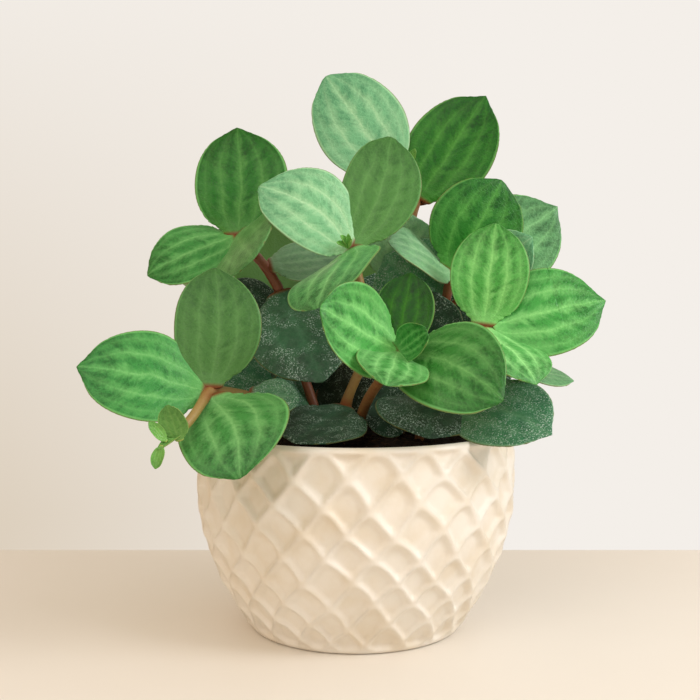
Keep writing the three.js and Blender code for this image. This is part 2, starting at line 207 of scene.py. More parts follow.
def write_points(mesh: bpy.types.Mesh, points: np.ndarray) -> None:
    """Move a mesh's points to new places, given in millimetres."""
    mesh.vertices.foreach_set("co", (points * MM).astype(np.float32).ravel())
    mesh.update()


def store_attribute(mesh: bpy.types.Mesh, name: str, values: np.ndarray) -> None:
    """Keep three numbers at each point of a mesh, for its material to read."""
    attribute = mesh.attributes.new(name, "FLOAT_VECTOR", "POINT")
    attribute.data.foreach_set("vector", values.astype(np.float32).ravel())


def smoothstep(low: float, high: float, value: np.ndarray) -> np.ndarray:
    """Rise smoothly from 0 at low to 1 at high."""
    t = np.clip((value - low) / (high - low), 0, 1)
    return t * t * (3 - 2 * t)


def bell(x: np.ndarray) -> np.ndarray:
    """A bell curve: 1 at 0 and next to nothing past 2."""
    return np.exp(-(x**2))


def smooth_curve(places: np.ndarray, values: np.ndarray, at: np.ndarray) -> np.ndarray:
    """Read a smooth curve through points in rising order of place.

    Args:
        places: where the points are.
        values: the curve's value at each.
        at: where the curve is read.

    Returns:
        The curve's value at each place in at.
    """
    slopes = np.gradient(values, places)
    i = np.clip(np.searchsorted(places, at) - 1, 0, len(places) - 2)
    step = places[i + 1] - places[i]
    t = np.clip((at - places[i]) / step, 0, 1)
    start = (1 + 2 * t) * (1 - t) ** 2 * values[i] + t * (1 - t) ** 2 * step * slopes[i]
    end = t**2 * (3 - 2 * t) * values[i + 1] + t**2 * (t - 1) * step * slopes[i + 1]
    return start + end


def node_points(node: bpy.types.Object) -> np.ndarray:
    """Return the points of one of the frame's solids, in millimetres in the frame."""
    turn = np.array(node.matrix_world)
    return read_points(node.data) @ turn[:3, :3].T + turn[:3, 3] / MM


def surface_of(node: bpy.types.Object) -> BVHTree:
    """Return a solid's surface, in millimetres, for measuring distances to it."""
    faces = [tuple(face.vertices) for face in node.data.polygons]
    return BVHTree.FromPolygons(node_points(node).tolist(), faces)


def spin_section(
    name: str, start: tuple[float, float], moves: list[tuple[float, float]], sides: int, weld: float
) -> bpy.types.Object:
    """Extrude a half section point by point and spin it round the upright axis.

    Args:
        name: the new piece's name.
        start: the radius and height of the section's first point, in millimetres.
        moves: the way outward and up to each next point, in millimetres.
        sides: how many steps the spin takes.
        weld: how near points are merged, in millimetres.

    Returns:
        The closed piece, with its faces outward.
    """
    bpy.ops.mesh.primitive_plane_add(size=MM)
    piece = bpy.context.object
    piece.name = piece.data.name = name
    bpy.ops.object.mode_set(mode="EDIT")
    bpy.ops.mesh.merge(type="CENTER")
    bpy.ops.transform.translate(value=(start[0] * MM, 0, start[1] * MM))
    for out, up in moves:
        bpy.ops.mesh.extrude_vertices_move(TRANSFORM_OT_translate={"value": (out * MM, 0, up * MM)})
    bpy.ops.mesh.select_all(action="SELECT")
    bpy.ops.mesh.spin(steps=sides, angle=FULL_TURN, center=(0, 0, 0), axis=(0, 0, 1))
    bpy.ops.mesh.select_all(action="SELECT")
    bpy.ops.mesh.remove_doubles(threshold=weld * MM)
    bpy.ops.mesh.normals_make_consistent(inside=False)
    bpy.ops.object.mode_set(mode="OBJECT")
    return piece


def copy_node(node: bpy.types.Object, name: str) -> bpy.types.Object:
    """Copy a solid of the frame as a new piece, with its loose triangles joined up.

    Args:
        node: the solid.
        name: the new piece's name.

    Returns:
        The new piece, whose mesh lies in the frame's own coordinates.
    """
    piece = bpy.data.objects.new(name, node.data.copy())
    piece.data.transform(node.matrix_world)
    bpy.context.scene.collection.objects.link(piece)
    select_only(piece)
    if piece.data.has_custom_normals:
        bpy.ops.mesh.customdata_custom_splitnormals_clear()
    edit_selected(piece, None, ("remove_doubles", {"threshold": 1e-6}))
    piece.data.materials.clear()
    return piece


def join_pieces(pieces: list[bpy.types.Object], name: str) -> bpy.types.Object:
    """Join pieces into the first of them, under a new name.

    Args:
        pieces: the pieces.
        name: the name of the whole.

    Returns:
        The whole.
    """
    select_only(pieces[0])
    for piece in pieces[1:]:
        piece.select_set(True)
    bpy.ops.object.join()
    pieces[0].name = pieces[0].data.name = name
    return pieces[0]


def finish_piece(piece: bpy.types.Object, material: bpy.types.Material, slot: str, *nodes: str) -> None:
    """Dress a piece, hang it on the body and hide the solids that it replaces.

    Args:
        piece: the finished piece.
        material: its finish.
        slot: the record's material slot; not used.
        *nodes: the solids that it replaces.
    """
    piece.data.materials.append(material)
    select_only(piece)
    bpy.ops.object.shade_smooth()
    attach(piece, "root")
    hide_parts(*nodes)
    LOG.info("%s: %d faces", piece.name, len(piece.data.polygons))


# ---------------------------------------------------------------- finishes
class Slot(Enum):
    """The record's material slots."""

    CERAMIC = "ceramic"
    SOIL = "soil"
    STEM = "stem"
    FRESH = "leaf_fresh"
    PALE = "leaf_pale"
    SHADED = "leaf_shaded"
    OLD = "leaf_old"
    GREY = "leaf_grey"


class OwnSkin(Enum):
    """Skins of leaves that have grown or weathered otherwise than the rest of their slot."""

    BLEACHED = "bleached"
    OLIVE = "olive"
    WEATHERED = "weathered"
    UNFOLDING = "unfolding"


Materials = dict[Slot | OwnSkin, bpy.types.Material]


class Finish:
    """A new material under construction, with coordinates in millimetres for its patterns."""

    # The settings that a node has unless it is given others: soft steps and blends of colour.
    HABITS: ClassVar[dict[str, dict[str, str]]] = {
        "MapRange": {"interpolation_type": "SMOOTHSTEP"},
        "Mix": {"data_type": "RGBA"},
    }

    def __init__(self, name: str) -> None:
        """Start the material, and turn its Object coordinates into millimetres.

        Args:
            name: the material's name.
        """
        self.material = bpy.data.materials.new(name)
        self.material.use_nodes = True
        self.tree = self.material.node_tree
        place = self.add("TexCoord", output="Object")
        self.millimetres = self.add("Mapping", {"Vector": place, "Scale": (1 / MM, 1 / MM, 1 / MM)})

    def add(self, kind: str, inputs: Inputs = (), output: int | str = 0, **settings: str | bool) -> Socket:
        """Add a node to this material as add_node does, with its habits."""
        return add_node(self.tree, kind, inputs, output, **self.HABITS.get(kind, {}) | settings)

    def pattern(self, kind: str, size: float, **inputs: float) -> Socket:
        """Add a texture whose patches are about size millimetres across."""
        return self.add(kind, {"Vector": self.millimetres, "Scale": 1 / size, **inputs})

    def coats(self, ground: Value, *coats: tuple[Socket, Value]) -> Socket:
        """Lay coats of colour over a ground.

        Args:
            ground: the colour underneath.
            *coats: how far each coat covers what is under it, 0 to 1, and its colour.

        Returns:
            The colour on top.
        """
        for cover, colour in coats:
            ground = self.add("Mix", {0: cover, 6: ground, 7: colour}, 2)
        return ground

    def stored(self, name: str) -> list[Socket]:
        """Return the three numbers kept at each point under a name."""
        vector = self.add("Attribute", output="Vector", attribute_name=name)
        return list(self.add("SeparateXYZ", (vector,)).node.outputs)

    def complete(self, inputs: Inputs) -> bpy.types.Material:
        """Set the shader's inputs and return the material."""
        set_inputs(self.tree.nodes["Principled BSDF"], inputs)
        return self.material


@dataclass(frozen=True)
class MattGlaze:
    """Slip-cast stoneware under a thin cream matt glaze: a soft sheen and faint cloudy tone."""

    body: str = "#e9e2d6"
    thin: str = "#e0d4c0"
    ior: float = 1.5
    roughness: float = 0.42
    grain: float = 0.5  # mm, the glaze's fine pitting
    ripple: float = 4.0  # mm, its slow unevenness
    cloud: float = 14.0  # mm, where the glaze lies thinner or thicker
    relief: float = 0.12  # mm

    def build(self) -> bpy.types.Material:
        """Make the pot's material.

        Returns:
            The glaze.
        """
        glaze = Finish("matt_glazed_stoneware")
        cloud = glaze.pattern("TexNoise", self.cloud, Detail=4)
        cover = glaze.add("MapRange", (cloud, 0.35, 0.75))
        grain = glaze.pattern("TexNoise", self.grain, Detail=2)
        ripple = glaze.pattern("TexNoise", self.ripple, Detail=2)
        height = glaze.add("MULTIPLY_ADD", (grain, 0.25, ripple))
        bump = glaze.add("Bump", {"Height": height, "Distance": self.relief * MM})
        colour = glaze.coats(self.body, (cover, self.thin))
        look = {"Base Color": colour, "IOR": self.ior, "Roughness": self.roughness, "Normal": bump}
        return glaze.complete(look)


@dataclass(frozen=True)
class PottingSoil:
    """Moist peat with bark fibres: nearly black, rough, with a few warm brown crumbs."""

    peat: str = "#1d140e"
    bark: str = "#4b3423"
    crumb: float = 1.6  # mm
    relief: float = 0.8  # mm
    roughness: float = 0.95
    shine: float = 0.2

    def build(self) -> bpy.types.Material:
        """Make the soil's material.

        Returns:
            The peat.
        """
        peat = Finish("moist_peat")
        grain = peat.pattern("TexNoise", self.crumb, Detail=6, Roughness=0.65)
        cover = peat.add("MapRange", (grain, 0.45, 0.75))
        bump = peat.add("Bump", {"Height": grain, "Distance": self.relief * MM})
        look = {"Base Color": peat.coats(self.peat, (cover, self.bark)), "Normal": bump}
        return peat.complete(look | {"Roughness": self.roughness, "Specular IOR Level": self.shine})


@dataclass(frozen=True)
class StemSkin:
    """A peperomia's smooth succulent stem: olive tan to red-brown, redder at every leaf joint."""

    red: str = "#7c4526"
    olive: str = "#9a8048"
    joint: str = "#8a3f1f"
    joint_cover: float = 0.85
    streak: float = 1.2  # mm
    relief: float = 0.15  # mm
    roughness: float = 0.45

    def build(self) -> bpy.types.Material:
        """Make the stems' material.

        Returns:
            The skin, which reads each stem's joints and olive share from "stem_place".
        """
        skin = Finish("succulent_stem_skin")
        near_joint, olive_share, _ = skin.stored("stem_place")
        streaks = skin.pattern("TexNoise", self.streak, Detail=5, Roughness=0.6)
        uneven = skin.add("MULTIPLY_ADD", (streaks, 0.7, -0.35))
        share = skin.add("ADD", (olive_share, uneven))
        olive = skin.add("MapRange", (share, 0, 1))
        joint = skin.add("MULTIPLY", (near_joint, self.joint_cover))
        colour = skin.coats(self.red, (olive, self.olive), (joint, self.joint))
        bump = skin.add("Bump", {"Height": streaks, "Distance": self.relief * MM})
        return skin.complete({"Base Color": colour, "Roughness": self.roughness, "Normal": bump})


class LeafPaint(Finish):
    """A leaf skin under construction: what it reads at each point of the leaf, and its patterns."""

    # Each vein's place across the half width, its strength, and its strength at the tip.
    VEINS: ClassVar[tuple[Place, ...]] = ((0.0, 1.0, 0.6), (0.43, 0.85, 0.25), (0.78, 0.45, 0.1))
    NET_CELL: ClassVar[float] = 2 / 3  # mm, coarser than life so that it shows
    NET_WOBBLE: ClassVar[float] = 1.25  # mm
    SPECK_SPACING: ClassVar[float] = 1 / 1.15  # mm

    def __init__(self, name: str) -> None:
        """Start the material and read the leaf's places and tone.

        Args:
            name: the material's name.
        """
        super().__init__(name)
        self.along, self.side, self.upper = self.stored("leaf_place")
        self.brightness, self.warmth, self.richness = self.stored("leaf_tone")
        self.stalk = self.stored("leaf_stalk")[0]
        self.edge = self.add("ABSOLUTE", (self.side,))

    def streaks(self, fineness: float) -> Socket:
        """Draw noise out along the side veins, which run outward and forward.

        Args:
            fineness: how many streaks the blade's length holds.

        Returns:
            The streaks, 0 to 1.
        """
        slant = self.add("MULTIPLY", (self.edge, -0.26 * fineness))
        forward = self.add("MULTIPLY_ADD", (self.along, fineness, slant))
        bend = self.pattern("TexNoise", 30.0, Detail=1)
        outward = self.add("MULTIPLY_ADD", (self.side, 0.22 * fineness, bend))
        layer = self.pattern("TexNoise", 50.0, Detail=0)
        place = self.add("CombineXYZ", (forward, outward, layer))
        return self.add("TexNoise", {"Vector": place, "Scale": 1.0, "Detail": 3, "Roughness": 0.6})

    def bands(self, strength: float) -> Socket:
        """Work out how pale the skin is over the veins: soft feathered bands that meet at the base.

        Args:
            strength: how strong the bands are.

        Returns:
            How pale the skin is, 0 to 1.
        """
        add = self.add
        drift = self.pattern("TexNoise", 9.0, Detail=2)
        wander = add("MULTIPLY_ADD", (drift, 0.18, -0.09))
        across = add("ADD", (self.side, wander))
        across = add("ABSOLUTE", (across,))
        feather = add("MULTIPLY_ADD", (self.streaks(14.0), -0.5, 0.25))
        pale = add("MapRange", (self.along, -0.02, 0.26, 0.8, 0.0))
        for middle, at_base, at_tip in self.VEINS:
            past = add("SUBTRACT", (across, middle))
            off = add("ABSOLUTE", (past,))
            soft = add("ADD", (off, feather))
            core = add("MapRange", (off, 0.0, 0.05, 0.35, 0.0))
            halo = add("MapRange", (soft, 0.0, 0.22, 0.7, 0.0))
            fade = add("MapRange", (self.along, 0.45, 0.97, at_base, at_tip))
            full = add("ADD", (core, halo))
            vein = add("MULTIPLY", (full, fade))
            pale = add("MAXIMUM", (pale, vein))
        grain = self.pattern("TexNoise", 1.1, Detail=4, Roughness=0.7)
        mottle = add("MULTIPLY_ADD", (grain, 1.5, 0.1))
        mottled = add("MULTIPLY", (pale, mottle))
        return add("MULTIPLY", (mottled, strength))

    def network(self) -> Socket:
        """Draw the fine net of side veins.

        Returns:
            The net, 1 on a vein.
        """
        wobble = {"Vector": self.millimetres, "Scale": 1 / self.NET_WOBBLE, "Detail": 2}
        blend = {0: 0.55, 4: self.millimetres, 5: self.add("TexNoise", wobble, "Color")}
        bent = self.add("Mix", blend, 1, data_type="VECTOR", factor_mode="UNIFORM")
        cells = {"Vector": bent, "Scale": 1 / self.NET_CELL}
        edge = self.add("TexVoronoi", cells, "Distance", feature="DISTANCE_TO_EDGE")
        return self.add("MapRange", (edge, 0.0, 0.16, 1.0, 0.0))

    def mottling(self, pale: Socket, net: Socket) -> Socket:
        """Work out the dark patches between the bands: streaky, cloudy and denser to the tip.

        Args:
            pale: how pale the skin is over the veins.
            net: the net of side veins.

        Returns:
            How dark the skin is, 0 to 1.
        """
        add = self.add
        grain = self.pattern("TexNoise", 1.3, Detail=4, Roughness=0.65)
        clouds = add("MULTIPLY_ADD", (grain, 0.55, -0.275))
        uneven = add("ADD", (self.streaks(12.0), clouds))
        patches = add("MapRange", (uneven, 0.3, 0.8, 0.0, 0.75))
        patches = add("MULTIPLY_ADD", (net, -0.3, patches))
        to_tip = add("MapRange", (self.along, 0.15, 1.0, -0.2, 0.4))
        patches = add("ADD", (patches, to_tip))
        patches = add("ADD", (patches, 0.15))
        return add("MULTIPLY_ADD", (pale, -0.5, patches), use_clamp=True)

    def specks(self, share: float) -> Socket:
        """Strew white mineral specks over the skin in drifts, more of them towards the edges.

        Args:
            share: how much of the skin has them.

        Returns:
            Where the specks lie, 0 to 1.
        """
        add = self.add
        cells = self.pattern("TexVoronoi", self.SPECK_SPACING)
        grain = add("MapRange", (cells, 0.14, 0.32, 1.0, 0.0))
        rough = self.pattern("TexNoise", 0.55, Detail=3, Roughness=0.7)
        crust = add("MapRange", (rough, 0.53, 0.64, 0.0, 0.7))
        cloud = self.pattern("TexNoise", 6.0, Detail=4, Roughness=0.6)
        drift = add("MULTIPLY_ADD", (self.edge, 0.14, cloud))
        where = add("MapRange", (drift, 0.62 - 0.14 * share, 0.76 - 0.1 * share))
        either = add("MAXIMUM", (grain, crust))
        return add("MULTIPLY", (either, where))


@dataclass(frozen=True)
class LeafSkin:
    """A fleshy, satin leaf skin: five pale soft bands run from base to tip over a mottled field."""

    name: str
    field: str  # the green between the bands
    deep: str  # its darker patches
    band: str  # the pale bands over the veins, and the painted highlight just inside the margin
    underside: str
    band_strength: float = 0.9
    roughness: float = 0.36
    speckle: float = 0.0  # share of the skin with white mineral specks
    dust: float = 0.0  # how grey a film of dust makes it
    stalk: str = "#74401f"
    margin: str = "#6c6431"

    DUST_GREY: ClassVar[str] = "#8b9c8c"
    SPECK_WHITE: ClassVar[str] = "#b4cbbd"
    IOR: ClassVar[float] = 1.45
    SHINE: ClassVar[float] = 0.28
    RELIEF: ClassVar[float] = 0.12  # mm

    def build(self) -> bpy.types.Material:
        """Make the leaf's material.

        Returns:
            The skin, which reads each leaf's own places and tone from its points.
        """
        skin = LeafPaint(self.name)
        add = skin.add
        pale, net = skin.bands(self.band_strength), skin.network()
        colour = skin.coats(self.field, (skin.mottling(pale, net), self.deep), (pale, self.band))
        if self.dust:
            grain = skin.pattern("TexNoise", 2.2, Detail=5, Roughness=0.7)
            film = add("MapRange", (grain, 0.3, 0.75, 0.35 * self.dust, self.dust))
            colour = skin.coats(colour, (film, self.DUST_GREY))
        hue = add("MULTIPLY_ADD", (skin.warmth, -0.03, 0.5))
        tint = {"Hue": hue, "Saturation": skin.richness, "Value": skin.brightness, "Color": colour}
        colour = add("HueSaturation", tint)
        if self.speckle:
            colour = skin.coats(colour, (skin.specks(self.speckle), self.SPECK_WHITE))
        colour = skin.coats(
            colour,
            (add("MapRange", (skin.upper, 0.35, 0.55, 1.0, 0.0)), self.underside),
            # A pale ring just inside the margin: a painted highlight along the rounded rim.
            (add("MapRange", (skin.edge, 0.92, 0.965, 0.0, 0.5)), self.band),
            (add("MapRange", (skin.edge, 0.97, 0.995, 0.0, 0.65)), self.margin),
            (skin.stalk, self.stalk),
        )
        sheen = skin.pattern("TexNoise", 5.0, Detail=3)
        gloss = add("MULTIPLY_ADD", (sheen, 0.2, self.roughness - 0.1))
        pores = skin.pattern("TexNoise", 0.9, Detail=4, Roughness=0.6)
        relief = add("MULTIPLY_ADD", (net, 0.3, pores))
        bump = add("Bump", {"Height": relief, "Distance": self.RELIEF * MM})
        look = {"Base Color": colour, "Roughness": gloss, "Normal": bump}
        return skin.complete(look | {"IOR": self.IOR, "Specular IOR Level": self.SHINE})


LEAF_SKINS: dict[Slot | OwnSkin, LeafSkin] = {
    Slot.FRESH: LeafSkin("fresh_leaf_skin", "#3f9542", "#206423", "#82cb75", "#5f9242"),
    Slot.PALE: LeafSkin("young_leaf_skin", "#77bb87", "#4f8f63", "#b4e0ad", "#84b074", 0.8, 0.34),
    # A darker copy of the fresh skin for leaves that lie in shade: painted shade.
    Slot.SHADED: LeafSkin("shaded_leaf_skin", "#30742a", "#164c15", "#6cae56", "#5d8546", 0.68),
    # Old leaves lie low under the others: their dark field is partly age and partly painted shade.
    Slot.OLD: LeafSkin("old_leaf_skin", "#1b472c", "#0f2d1d", "#3b6d4c", "#44623e", 0.3, 0.42, 1.0, 0.1),
    Slot.GREY: LeafSkin("dusty_leaf_skin", "#568b5a", "#3c6c46", "#8db686", "#6a8a62", 0.55, 0.45, dust=0.3),
    OwnSkin.BLEACHED: LeafSkin("bleached_leaf_skin", "#6fae72", "#4f8c57", "#a3cf98", "#6a8a62", 0.6, 0.4),
    OwnSkin.OLIVE: LeafSkin("olive_leaf_skin", "#3d7636", "#2a5d28", "#67a05b", "#5d8546", 0.42, 0.34),
    OwnSkin.WEATHERED: LeafSkin(
        "weathered_leaf_skin", "#458458", "#2a6340", "#82b088", "#5b7d58", 0.5, 0.45, 1.7, 0.15
    ),
    OwnSkin.UNFOLDING: LeafSkin(
        "unfolding_leaf_skin", "#63a04b", "#4c873c", "#a3cc74", "#86ad55", 0.2, 0.25, stalk="#9aa552"
    ),
}


# ---------------------------------------------------------------- pot
@dataclass
class NetPot:
    """The round bowl with its raised net of scale-like cells. Sizes are in millimetres."""

    height: float = 76.2
    belly_radius: float = 60.0
    belly_height: float = 56.0
    foot_radius: float = 39.0
    foot_ring: float = 8.0  # width of the outermost ring under the foot
    foot_rounding: float = 0.7
    rim_draw_in: float = 0.6
    rim_zone: float = 2.2  # height that the wall's steps leave for the lip
    lip_steps: int = 12
    wall: float = 3.6
    floor: float = 5.0
    inner_heights: tuple[float, ...] = (70, 66, 60, 50, 40, 24, 12)
    axis_gap: float = 0.01  # the section ends this near the axis, and its ends are merged there
    weld: float = 0.03
    wall_slack: float = 0.3  # a point this near the plain bowl's outside belongs to it
    step_height: float = 0.62  # between the wall's points, fine enough for the net
    steps_per_cell: int = 16

    cells: int = 22  # round the pot
    first_row: float = 4.5  # height of the lowest row of cells
    row_height: float = 7.6
    row_growth: float = 0.16  # times the row's number squared: the cells get taller upwards
    net_depth: float = 2.4
    net_rise: float = 0.4  # how far the net stands out from the plain bowl
    net_turn: float = math.radians(-84.5)
    ridge: tuple[float, float] = (0.07, 0.48)  # shares of a cell where its side starts and ends
    roundness: tuple[float, float] = (1.12, 1.55)  # of a cell's lower and upper half
    net_starts: tuple[float, float] = (1.2, 4.0)  # heights over which the net sets in
    net_ends: tuple[float, float] = (72.0, 75.6)  # heights over which it fades to the plain band

    # How the rows of cells wander sideways and up, in cells: the size of each wave, how often it
    # goes round the pot, the height in which it turns by a radian, and where it starts.
    SIDE_WAVES: ClassVar[tuple[tuple[float, ...], ...]] = ((0.07, 3, 9, 0), (0.05, 7, -6, 1))
    RISE_WAVES: ClassVar[tuple[tuple[float, ...], ...]] = ((0.10, 5, 7, 2), (0.06, 11, 12, 0))

    def bowl_radius(self, height: np.ndarray) -> np.ndarray:
        """Work out the plain bowl's outside: two parabolas that meet at the belly.

        Args:
            height: heights above the table.

        Returns:
            The outer radius at each height.
        """
        below = 1 - height / self.belly_height
        low = self.belly_radius - (self.belly_radius - self.foot_radius) * below**2
        above = (height - self.belly_height) / (self.height - self.belly_height)
        high = self.belly_radius - self.rim_draw_in * above**2
        return np.where(height < self.belly_height, low, high)

    def radius_at(self, height: float) -> float:
        """Return the plain bowl's outer radius at one height."""
        return float(self.bowl_radius(np.array(height)))

    def profile(self) -> list[tuple[float, float]]:
        """Lay out the pot's half section, from under the foot, up the wall, to the inside.

        Returns:
            The radius and height of each point.
        """
        points = [(self.axis_gap, 0.0)]
        points += [(self.foot_radius - inset, 0.0) for inset in (self.foot_ring, self.foot_rounding)]
        rows = int((self.height - self.rim_zone) / self.step_height)
        heights = [row * self.step_height for row in range(1, rows + 1)]
        points += [(self.radius_at(height), height) for height in heights]
        lip = self.wall / 2
        middle = self.radius_at(self.height) - lip
        for step in range(self.lip_steps + 1):
            turn = math.pi * step / self.lip_steps
            points.append((middle + lip * math.cos(turn), self.height - lip + lip * math.sin(turn)))
        for height in (*self.inner_heights, self.floor):
            points.append((self.radius_at(height) - self.wall, height))
        return [*points, (self.axis_gap, self.floor)]

    @staticmethod
    def waves(waves: tuple[tuple[float, ...], ...], angle: np.ndarray, height: np.ndarray) -> np.ndarray:
        """Return the sum of waves that run round and up the wall."""
        return sum(size * np.sin(often * angle + height / rise + start) for size, often, rise, start in waves)

    def net(self, angle: np.ndarray, height: np.ndarray) -> np.ndarray:
        """Draw the net: each row of pointed, rounded cells stands half a cell aside from the next.

        Args:
            angle: angles round the pot.
            height: heights above the table.

        Returns:
            How deep the wall is sunk at each place, from 0 on the net to 1 in a cell.
        """
        around = (angle - self.net_turn) / FULL_TURN * self.cells
        column = around + self.waves(self.SIDE_WAVES, angle, height)
        rise = self.row_height**2 - 4 * self.row_growth * (self.first_row - height)
        row = (-self.row_height + np.sqrt(rise)) / (2 * self.row_growth)
        row = row + self.waves(self.RISE_WAVES, angle, height)
        deepest = np.zeros_like(row)
        for offset in (0, 1):
            near = np.floor(row) + offset
            shift = np.where(near % 2 == 0, 0.5, 0.0)
            across = np.abs(column - shift - np.round(column - shift)) * 2
            up = np.abs(row - near)
            power = np.where(row > near, self.roundness[1], self.roundness[0])
            edge = (across**power + up**power) ** (1 / power)
            deepest = np.maximum(deepest, smoothstep(*self.ridge, 1 - edge))
        return deepest

    def build(self, material: bpy.types.Material) -> bpy.types.Object:
        """Extrude the half section, spin it round and press the net into its wall.

        Args:
            material: the glaze.

        Returns:
            The finished pot.
        """
        points = self.profile()
        moves = [(r1 - r0, z1 - z0) for (r0, z0), (r1, z1) in zip(points, points[1:])]
        pot = spin_section("net_pot", points[0], moves, self.cells * self.steps_per_cell, self.weld)
        self.press_net(pot.data)
        finish_piece(pot, material, Slot.CERAMIC.value, "pot")
        return pot

    def press_net(self, mesh: bpy.types.Mesh) -> None:
        """Sink the cells of the net into the outside of the wall.

        Args:
            mesh: the spun bowl.
        """
        x, y, z = read_points(mesh).T
        radius = np.hypot(x, y)
        near = np.abs(radius - self.bowl_radius(z)) < self.wall_slack
        above_foot, below_lip = z > self.wall_slack, z < self.height - self.wall / 2 - self.wall_slack
        outside = near & above_foot & below_lip
        fade = smoothstep(*self.net_starts, z[outside]) * (1 - smoothstep(*self.net_ends, z[outside]))
        sunk = self.net(np.arctan2(y, x)[outside], z[outside])
        depth = np.zeros_like(z)
        depth[outside] = fade * (self.net_depth * sunk - self.net_rise)
        scale = 1 - depth / np.maximum(radius, 1)
        write_points(mesh, np.column_stack((x * scale, y * scale, z)))


# ---------------------------------------------------------------- soil
@dataclass
class SoilBed:
    """The heaped potting soil with loose crumbs on it. Sizes are in millimetres."""

    radius: float = 55.4
    edge_height: float = 66.0
    heap: float = 7.5
    underside: float = 58.0
    lump: float = 0.8  # height of the lumps
    rings: int = 70
    side_steps: int = 4
    base_steps: int = 8
    sides: int = 220
    weld: float = 0.01
    crumbs: int = 420
    crumb_radius: float = 1.7  # the largest
    crumb_reach: float = 0.96  # share of the bed's radius that they are strewn over
    crumb_flatness: float = 0.7

    # Two grains of roughness: height, size and the layer of the noise that it comes from.
    GRAINS: ClassVar[tuple[Place, ...]] = ((0.9, 5.0, 3.0), (0.7, 1.9, 9.0))

    def height(self, x: float, y: float) -> float:
        """Work out the soil's height at a place: a heap with broad and small lumps and rough grain.

        Args:
            x: the place to the right of the middle.
            y: the place behind the middle.

        Returns:
            The height above the table.
        """
        out = min(1.0, math.hypot(x, y) / (self.radius + 0.6))
        # Broad lumps are some 20 mm across, and the fine ones on them some 10 mm.
        broad, fine = math.sin(x / 6 + 1) * math.sin(y / 7 + 2), math.sin(x / 3.1) * math.cos(y / 3.7)
        grains = (high * noise.noise(Vector((x, y, layer)) / size) for high, size, layer in self.GRAINS)
        fade = min(1.0, (self.radius - math.hypot(x, y)) / 4 + 0.2)
        heap = self.edge_height + self.heap * (1 - out**2)
        return heap + self.lump * (1 - out) * (broad + 0.5 * fine) + sum(grains) * fade

    def build(self, material: bpy.types.Material) -> bpy.types.Object:
        """Spin a slab, rough up its top and strew it with crumbs.

        Args:
            material: the peat.

        Returns:
            The finished soil.
        """
        drop = (self.underside - self.edge_height) / self.side_steps
        moves = [(self.radius / self.rings, 0.0)] * self.rings
        moves += [(0.0, drop)] * self.side_steps
        moves += [(-self.radius / self.base_steps, 0.0)] * self.base_steps
        soil = spin_section("potting_soil", (0.0, self.edge_height), moves, self.sides, self.weld)
        points = read_points(soil.data)
        for point in points:
            if point[2] > self.edge_height - self.weld:
                point[2] = self.height(point[0], point[1])
        write_points(soil.data, points)
        self.strew(soil)
        finish_piece(soil, material, Slot.SOIL.value, "soil")
        return soil

    def strew(self, soil: bpy.types.Object) -> None:
        """Copy one crumb over the soil at many sizes and turns, and join them to it.

        Args:
            soil: the bare soil.
        """
        bpy.ops.mesh.primitive_ico_sphere_add(subdivisions=1, radius=MM)
        model = bpy.context.object
        draw = random.Random(7)
        pieces = [soil]
        for _ in range(self.crumbs):
            out = self.radius * self.crumb_reach * math.sqrt(draw.random())
            turn = draw.uniform(0, FULL_TURN)
            x, y = out * math.cos(turn), out * math.sin(turn)
            size = draw.uniform(0.35, 1.0) ** 2 * self.crumb_radius
            length, breadth = (size * draw.uniform(0.6, 1.5) for _ in range(2))
            place = Matrix.Translation(Vector((x, y, self.height(x, y) + 0.1)) * MM)
            turned = Matrix.Rotation(draw.uniform(0, FULL_TURN), 4, "Z")
            shape = Matrix.Diagonal((length, breadth, size * self.crumb_flatness, 1))
            crumb = bpy.data.objects.new("crumb", model.data.copy())
            crumb.data.transform(place @ turned @ shape)
            bpy.context.scene.collection.objects.link(crumb)
            pieces.append(crumb)
        bpy.data.objects.remove(model)
        join_pieces(pieces, soil.name)


# ---------------------------------------------------------------- leaves
RING_CORNERS = 8  # points round each ring of a leaf's solid
RING_GAP = 0.02  # mm, points nearer than this along the leaf are on one ring


